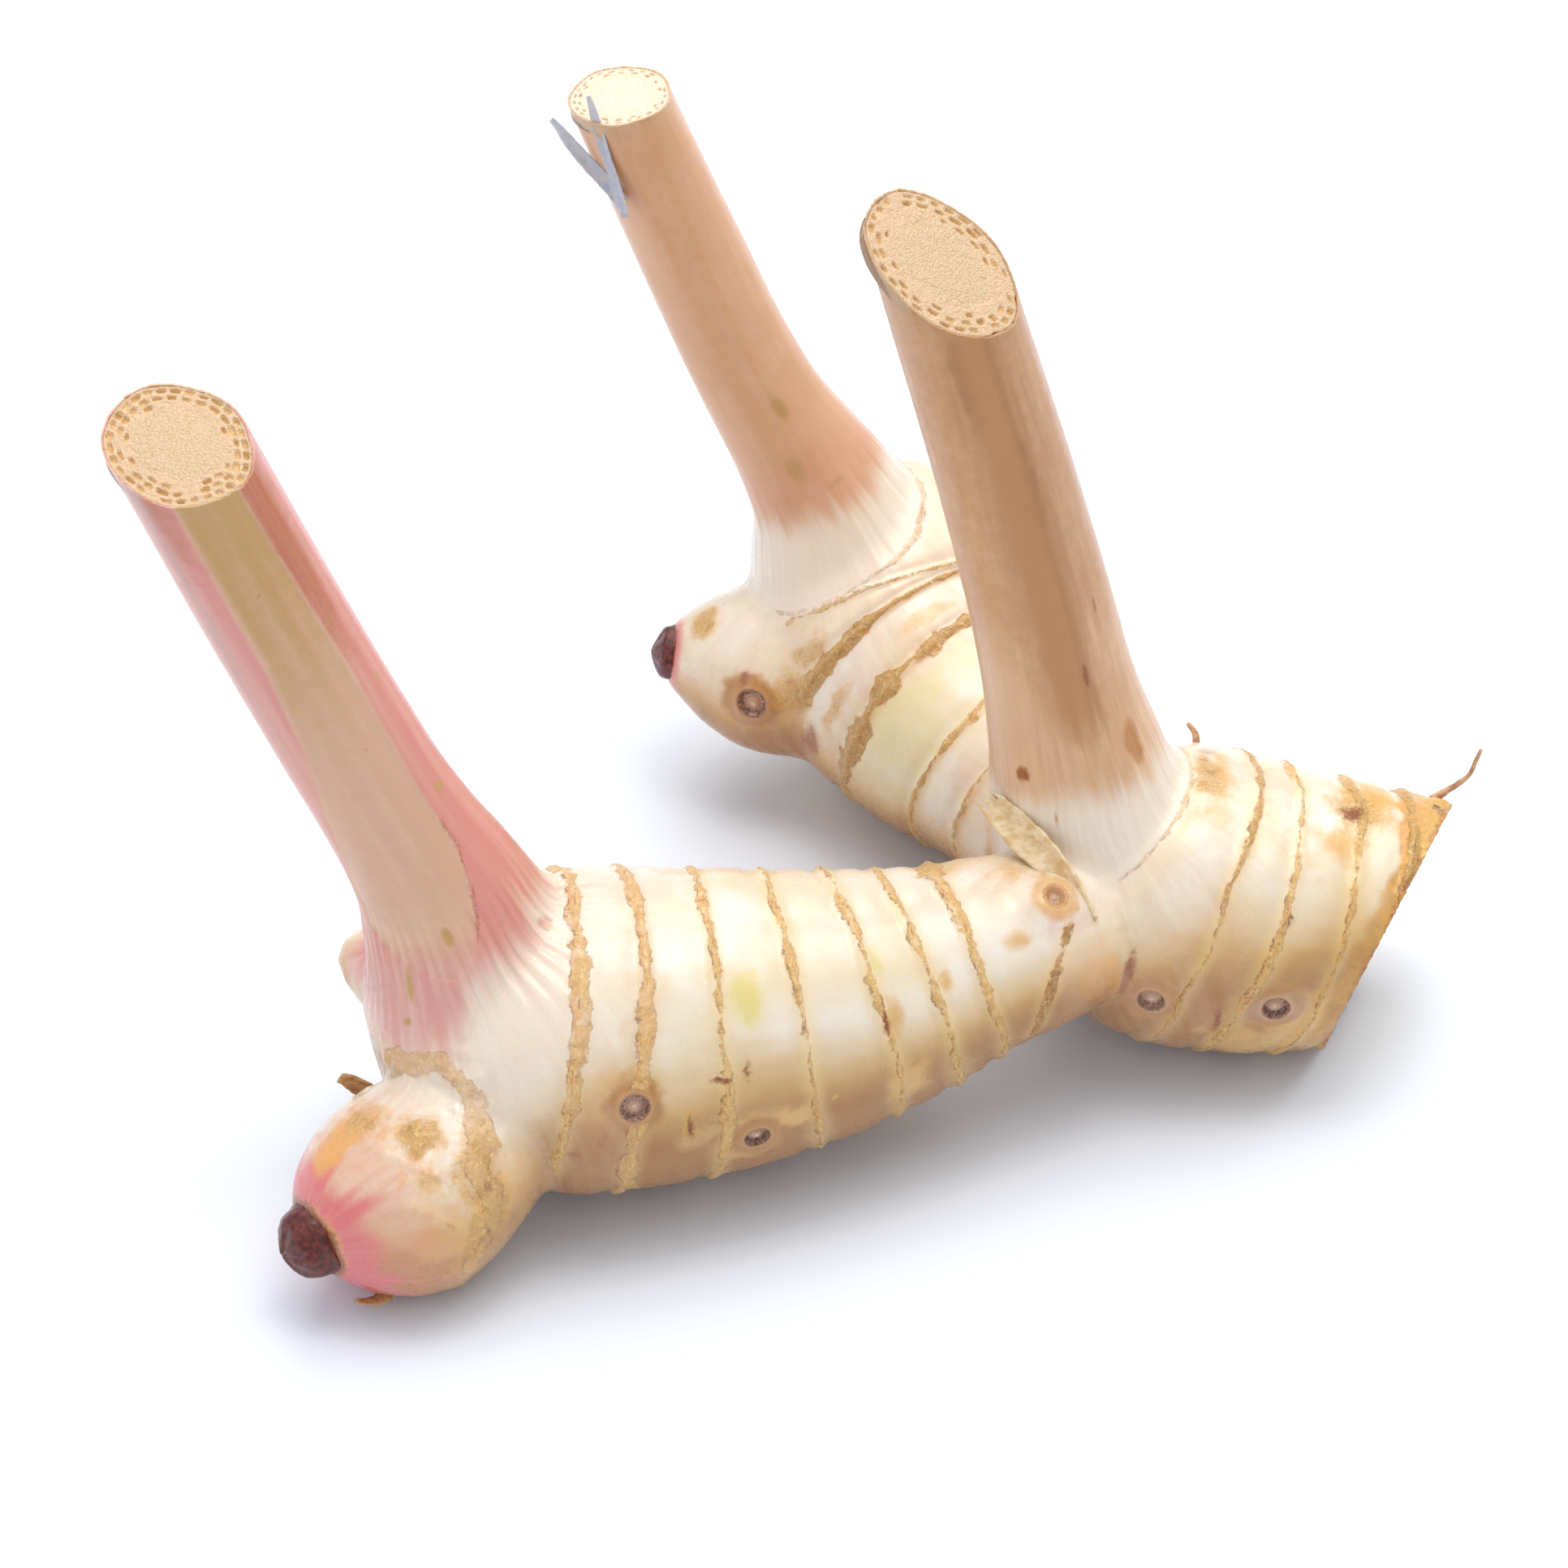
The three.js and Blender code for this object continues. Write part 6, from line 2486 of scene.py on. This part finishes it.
@dataclass
class Rhizome:
    """The grown body: limbs and buds drawn as tubes, fused, smoothed, carved and split from its shoots."""

    voxel: float = 0.8
    spacing: float = 1.7
    segments: int = 40
    melt: int = 16
    ring_reach: float = 0.6
    foot_reach: float = 4.0
    fine_reach: float = 7.0
    wall: float = 0.45
    slot: str = "rhizome_skin"
    PART: ClassVar[str] = "part"

    def draw_mass(self) -> Piece:
        """Draws every member and shoot and fuses them.

        Returns:
            The fused body.
        """
        tubes = [
            loft(grown.name, tube_sections(grown.spine, self.spacing), self.segments)
            for grown in (*MEMBERS, *SHOOTS)
        ]
        mass = join_as("galangal_mass", tubes)
        apply_modifier(mass, "REMESH", mode="VOXEL", voxel_size=self.voxel * MM, adaptivity=0.0)
        apply_modifier(mass, "SMOOTH", factor=0.5, iterations=6)
        return mass

    def melt_joins(self, mass: Piece) -> None:
        """Rounds off the creases where members and shoots meet.

        Args:
            mass: The fused body.
        """
        weights = Survey(points_of(mass)).junction()
        group = mass.vertex_groups.new(name="joins")
        for step in range(1, 11):
            level = step / 10.0
            chosen = np.nonzero(np.round(weights * 10.0) == step)[0]
            if len(chosen):
                group.add(chosen.tolist(), level, "REPLACE")
        apply_modifier(mass, "SMOOTH", factor=0.5, iterations=self.melt, vertex_group="joins")
        mass.vertex_groups.clear()

    def clothe(self, mass: Piece) -> None:
        """Refines the mass where it has detail, then raises and colours its skin.

        Args:
            mass: The fused body.
        """
        survey = Survey(points_of(mass))
        maker = SkinMaker(survey)
        lines = maker.lines()
        crumbly = maker.crumbs() > 0.3
        share, _, _ = survey.root_share()
        near_foot = survey.shoot_gap < survey.member_gap + self.foot_reach
        near_line = lines.lead > -self.ring_reach
        refine(mass, (near_line | (share < 2.6) | near_foot | crumbly).astype(float))
        survey = Survey(points_of(mass))
        share, _, _ = survey.root_share()
        label = survey.on_shoot()
        at_foot = np.zeros(len(label), bool)
        for index, plan in enumerate(SHOOTS):
            at_foot |= (label == index) & (survey.shoots[index].s < plan.foot + self.fine_reach)
        refine(mass, (at_foot | (share < 1.7)).astype(float))
        survey = Survey(points_of(mass))
        skin = SkinMaker(survey, normals_of(mass)).whole()
        points = points_of(mass) + normals_of(mass) * skin.height[:, None]
        points[:, 2] = np.maximum(points[:, 2], 0.0)
        place_points(mass, points)
        skin.keep(mass)
        store(mass, self.PART, survey.on_shoot().astype(float))
        shade_smooth(mass)

    def split(self, mass: Piece) -> list[Piece]:
        """Takes the shoots off the rhizome and closes where they were.

        Args:
            mass: The fused body, which stays as the rhizome.

        Returns:
            One object to a shoot, in the order of the plans.
        """
        shoots = []
        for index, plan in enumerate(SHOOTS):
            label = np.empty(len(mass.data.vertices), np.float32)
            mass.data.attributes[self.PART].data.foreach_get("value", label)
            choose_faces(mass, face_values(mass, (label == index).astype(float)) > 0.5)
            before = set(bpy.data.objects)
            bpy.ops.mesh.separate(type="SELECTED")
            bpy.ops.object.mode_set(mode="OBJECT")
            shoot = (set(bpy.data.objects) - before).pop()
            shoot.name = plan.name + "_sheath"
            cap_border(shoot)
            shoots.append(shoot)
        cap_border(mass)
        return shoots

    def build(self) -> tuple[Piece, list[Piece]]:
        """Makes the rhizome and its shoots.

        Returns:
            The rhizome, and the shoots in the order of the plans.
        """
        mass = self.draw_mass()
        self.melt_joins(mass)
        self.clothe(mass)
        shoots = self.split(mass)
        slice_off(mass, END_AT, END_OUT)
        hollow_cut(mass, END_AT, END_OUT, self.wall, Pith.DEPTH)
        mass.name = "rhizome_body"
        dress(mass, FINISHES["rhizome"].build(), self.slot, "rhizome")
        return mass, shoots


@dataclass
class Shoot:
    """A cut shoot: its sheath and the pith in its cut."""

    plan: ShootPlan
    wall: float = 0.24

    def build(self, sheath: Piece, cut: Material) -> list[Piece]:
        """Models the sheath and its pith.

        Args:
            sheath: The shoot as split from the rhizome.
            cut: The material of the cut face.

        Returns:
            The sheath and the pith.
        """
        plan = self.plan
        slice_off(sheath, plan.cut_at, plan.cut_out)
        hollow_cut(sheath, plan.cut_at, plan.cut_out, self.wall, Pith.DEPTH)
        dress(sheath, FINISHES[plan.name].build(), plan.slot, plan.name)
        pith = Pith(plan.name + "_pith", plan.spine, plan.cut_at, plan.cut_out, 0.6 * self.wall)
        pith.fit(sheath)
        plug = pith.build(ShootCut(plan).relief)
        dress(plug, cut, plan.slot)
        return [sheath, plug]


@dataclass
class CutEnd:
    """The dried cut end of the middle limb, a torn face in a rim of skin."""

    wall: float = 0.4

    def build(self, body: Piece) -> Piece:
        """Models the torn face to fit the cut of the body.

        Args:
            body: The rhizome with its sunken cut.

        Returns:
            The plug.
        """
        pith = Pith("rhizome_cut_end", MIDDLE.spine, END_AT, END_OUT, self.wall)
        pith.fit(body)
        plug = pith.build(end_relief)
        dress(plug, FINISHES["end"].build(), "rhizome_skin")
        return plug


@dataclass
class BudTip:
    """The dry cap on a bud."""

    name: str
    node: str
    rows: Rows
    segments: int = 48
    ridge: float = 0.25

    def build(self, finish: Material) -> Piece:
        """Models the cap: a drawn tube with shrunken folds and a ragged collar.

        Args:
            finish: Its material.

        Returns:
            The cap.
        """
        spine = Spine(self.rows, (0.0, 0.0, 1.0))
        obj = loft(self.name, tube_sections(spine, 0.32, 0.3, 0.3), self.segments)
        apply_modifier(obj, "SUBSURF", levels=1, render_levels=1)
        points = points_of(obj)
        place = spine.locate(points)
        share = place.s / spine.length
        folds = np.sin(7.0 * place.angle + 1.5 * NOISE.at(points, 2.5))
        rough = NOISE.layered(points, 1.3)
        collar = bell(share - 0.34 - 0.1 * np.sin(3.0 * place.angle), 0.07)
        height = self.ridge * (0.35 * folds * ramp(share, 0.2, 0.9) + 0.7 * rough + 1.1 * collar)
        place_points(obj, points + normals_of(obj) * height[:, None])
        shade_smooth(obj)
        dress(obj, finish, "dry_bud_tip", self.node)
        return obj


@dataclass
class Blade:
    """A thin strip of dry tissue through points: a scale leaf, a shred or a flake."""

    name: str
    points: tuple[Spot, ...]
    halves: tuple[float, ...]
    facing: Spot
    thickness: float = 0.25
    curl: float = 0.25
    fray: float = 0.0
    along: int = 40
    across: int = 12

    def build(self) -> Piece:
        """Models the strip from a grid, then gives it its thickness.

        Returns:
            The strip.
        """
        bpy.ops.object.select_all(action="DESELECT")
        bpy.ops.mesh.primitive_grid_add(x_subdivisions=self.along, y_subdivisions=self.across, size=2.0)
        obj = bpy.context.object
        obj.name = self.name
        unit = raw_points(obj)
        t, u = (unit[:, 0] + 1.0) / 2.0, unit[:, 1]
        spine = Spine(
            [(*p, h) for p, h in zip(self.points, self.halves)], np.cross(self.facing, self.run()).tolist()
        )
        here = spine.at(t * spine.length)
        seeds = np.stack([3.0 * t, u, 0.0 * t], axis=1)
        ragged = 1.0 + 0.16 * NOISE.layered(seeds * 3.0 + 7.0, 0.6)
        fingers = 1.0 - self.fray * ramp(t, 0.3, 0.0) * (0.5 + 0.5 * np.sin(9.0 * u + 1.0))
        place = here.point + (u * here.radius * ragged)[:, None] * here.side
        lift = -self.curl * here.radius * u**2 + 0.12 * NOISE.layered(seeds * 2.0, 0.5)
        place += lift[:, None] * here.up
        pull = (1.0 - fingers) * 2.2
        place += here.along * pull[:, None]
        place_points(obj, place)
        apply_modifier(obj, "SOLIDIFY", thickness=self.thickness * MM, offset=0.0)
        face_outward(obj)
        shade_smooth(obj)
        return obj

    def run(self) -> Array:
        """The strip's direction from end to end."""
        return np.array(self.points[-1]) - np.array(self.points[0])


SCALE_LEAF = Blade(
    "scale_leaf_blade",
    (
        (22.4, -43.9, 35.2), (24.9, -46.9, 34.4), (27.3, -49.6, 33.5), (29.8, -52.2, 32.3),
        (32.1, -54.6, 30.5), (34.3, -57.0, 27.9),
    ),
    (1.2, 1.7, 1.9, 1.7, 1.2, 0.6),
    (-0.35, -0.75, 0.56),
    thickness=0.35,
    curl=0.3,
    fray=0.9,
)
SHREDS = (
    Blade(
        "sheath_shred_free",
        (
            (-18.3, 7.4, 80.3), (-20.0, 9.0, 81.8), (-21.9, 10.4, 83.3), (-24.1, 11.9, 85.3),
            (-26.5, 13.6, 87.7),
        ),
        (0.7, 0.8, 0.8, 0.7, 0.3),
        (-0.3, -0.85, 0.43),
        thickness=0.15,
        curl=0.6,
    ),
    Blade(
        "sheath_shred_lying",
        (
            (-18.0, 6.0, 79.4), (-18.9, 7.2, 82.2), (-19.8, 7.9, 85.3), (-20.7, 8.6, 88.6),
            (-21.6, 9.4, 91.8), (-22.0, 10.0, 93.0),
        ),
        (0.5, 0.8, 0.6, 0.7, 0.5, 0.3),
        (-0.55, -0.8, 0.2),
        thickness=0.15,
        curl=0.4,
    ),
)
FLAKES = (
    Blade(
        "flake_upper",
        ((-44.6, -72.6, 15.6), (-46.9, -72.4, 18.0), (-48.6, -72.6, 19.2)),
        (1.1, 1.2, 0.8),
        (-0.6, -0.6, 0.5),
        thickness=0.25,
        curl=0.5,
        along=16,
        across=10,
    ),
    Blade(
        "flake_lower",
        ((-42.6, -87.4, 2.6), (-45.0, -90.0, 2.2), (-46.6, -90.6, 2.6)),
        (1.5, 1.3, 0.8),
        (0.1, -0.5, -0.85),
        thickness=0.25,
        curl=0.4,
        along=16,
        across=10,
    ),
)
END_ROOTLET: Rows = (
    (72.6, -33.6, 23.6, 0.7), (75.2, -32.9, 25.8, 0.5), (77.4, -32.4, 27.2, 0.36),
    (78.6, -32.2, 28.4, 0.3), (79.3, -31.6, 30.0, 0.26), (79.8, -31.2, 31.3, 0.22),
)
TOP_ROOTLET: Rows = (
    (47.5, -32.2, 29.0, 0.8), (47.3, -30.6, 31.2, 0.5), (47.1, -29.7, 32.5, 0.34),
    (46.3, -29.2, 33.5, 0.22),
)


@dataclass
class Trimmings:
    """Thin dry pieces: the scale leaf, shreds, lifted flakes and rootlets."""

    segments: int = 14

    def rootlet(self, name: str, rows: Rows) -> Piece:
        """A dried rootlet, a little knotted.

        Args:
            name: Name of the new object.
            rows: Points with their radii.

        Returns:
            The rootlet.
        """
        spine = Spine(rows, (0.3, 1.0, 0.2))
        obj = loft(name, tube_sections(spine, 0.35, 0.3, 0.6), self.segments)
        points = points_of(obj)
        place = spine.locate(points)
        knots = 0.25 * NOISE.layered(points, 1.4) * place.radius
        place_points(obj, points + normals_of(obj) * knots[:, None])
        shade_smooth(obj)
        return obj

    def build(self) -> list[Piece]:
        """Models and dresses all of them.

        Returns:
            The four pieces.
        """
        leaf = SCALE_LEAF.build()
        dress(leaf, FINISHES["scale"].build(), "papery_scale", "scale_leaf")
        shreds = join_as("sheath_shred_strips", [blade.build() for blade in SHREDS])
        dress(shreds, FINISHES["shred"].build(), "sheath_fibre", "sheath_shreds")
        flakes = join_as("lifted_flakes", [blade.build() for blade in FLAKES])
        dress(flakes, FINISHES["flake"].build(), "rhizome_skin")
        rootlets = join_as(
            "dried_rootlets",
            [self.rootlet("end_rootlet", END_ROOTLET), self.rootlet("top_rootlet", TOP_ROOTLET)],
        )
        dress(rootlets, FINISHES["rootlet"].build(), "rhizome_skin")
        return [leaf, shreds, flakes, rootlets]


@dataclass
class Studio:
    """A pale floor, soft light and the camera at the photograph's angle."""

    elevation: float = 40.0
    distance: float = 620.0
    lens: float = 115.5
    sensor: float = 36.0
    floor: float = 4.0
    floor_colour: Colour = (0.84, 0.885, 0.965)
    sky: float = 0.68

    def build(self) -> None:
        """Sets the stage."""
        bpy.ops.object.select_all(action="DESELECT")
        bpy.ops.mesh.primitive_plane_add(size=self.floor, location=(0.0, 0.0, 0.0))
        floor = bpy.context.object
        floor.name = "floor"
        graph = Graph("pale_floor")
        graph.finish(self.floor_colour, 0.45)
        graph.shader.inputs["Specular IOR Level"].default_value = 0.3
        floor.data.materials.append(graph.material)
        self.lights()
        self.camera()

    def lights(self) -> None:
        """A broad soft key from above and behind, a weak fill, a small window and an even sky."""
        self.panel("key", (0.18, 0.4, 1.15), 1.6, 16.2, (1.0, 0.98, 0.95))
        self.panel("fill", (-0.9, -0.5, 0.7), 0.9, 1.6, (1.0, 0.98, 0.96))
        self.panel("window", (0.1, 0.05, 1.0), 0.3, 1.2, (1.0, 0.985, 0.96))
        sky = bpy.data.worlds.new("sky")
        sky.use_nodes = True
        light = sky.node_tree.nodes["Background"]
        light.inputs["Color"].default_value = (0.86, 0.925, 1.0, 1.0)
        light.inputs["Strength"].default_value = self.sky
        bpy.context.scene.world = sky

    @staticmethod
    def panel(name: str, place: Spot, size: float, power: float, colour: Colour) -> None:
        """A square area light that faces the root.

        Args:
            name: The light's name.
            place: Where it hangs, in metres.
            size: Its side in metres.
            power: Its watts.
            colour: Its colour.
        """
        bpy.ops.object.select_all(action="DESELECT")
        bpy.ops.object.light_add(type="AREA", location=place)
        lamp = bpy.context.object
        lamp.name = name
        lamp.data.size = size
        lamp.data.energy = power
        lamp.data.color = colour
        aim = Vector((0.0, 0.0, 0.03)) - Vector(place)
        lamp.rotation_euler = aim.to_track_quat("-Z", "Y").to_euler()

    def camera(self) -> None:
        """The camera, aimed at the layout's middle."""
        bpy.ops.object.select_all(action="DESELECT")
        rise = math.radians(self.elevation)
        back = Vector((0.0, -math.cos(rise), math.sin(rise))) * self.distance * MM
        bpy.ops.object.camera_add(location=world((0.0, 0.0, 0.0)) + back)
        camera = bpy.context.object
        camera.rotation_euler = (math.radians(90.0 - self.elevation), 0.0, 0.0)
        camera.data.lens = self.lens
        camera.data.sensor_width = self.sensor
        bpy.context.scene.camera = camera
        view = bpy.context.scene.view_settings
        view.view_transform = "Standard"
        view.look = "None"


def report(obj: Piece) -> None:
    """Logs a piece's name and triangles."""
    triangles = sum(len(face.vertices) - 2 for face in obj.data.polygons)
    LOG.info("%s: %d triangles", obj.name, triangles)


def main() -> None:
    """Builds the root piece by piece, then the studio."""
    body, sheaths = Rhizome().build()
    report(body)
    cuts = {name: FINISHES[name].build() for name in ("cut", "pale_cut")}
    for plan, sheath in zip(SHOOTS, sheaths):
        for piece in Shoot(plan).build(sheath, cuts[plan.cut_finish]):
            report(piece)
    report(CutEnd().build(body))
    tip = FINISHES["tip"].build()
    report(BudTip("front_bud_cap", "bud_tip_front", FRONT_TIP).build(tip))
    report(BudTip("rear_bud_cap", "bud_tip_rear", REAR_TIP, ridge=0.15).build(tip))
    for piece in Trimmings().build():
        report(piece)
    Studio().build()
    bpy.context.view_layer.update()


if __name__ == "__main__":
    main()
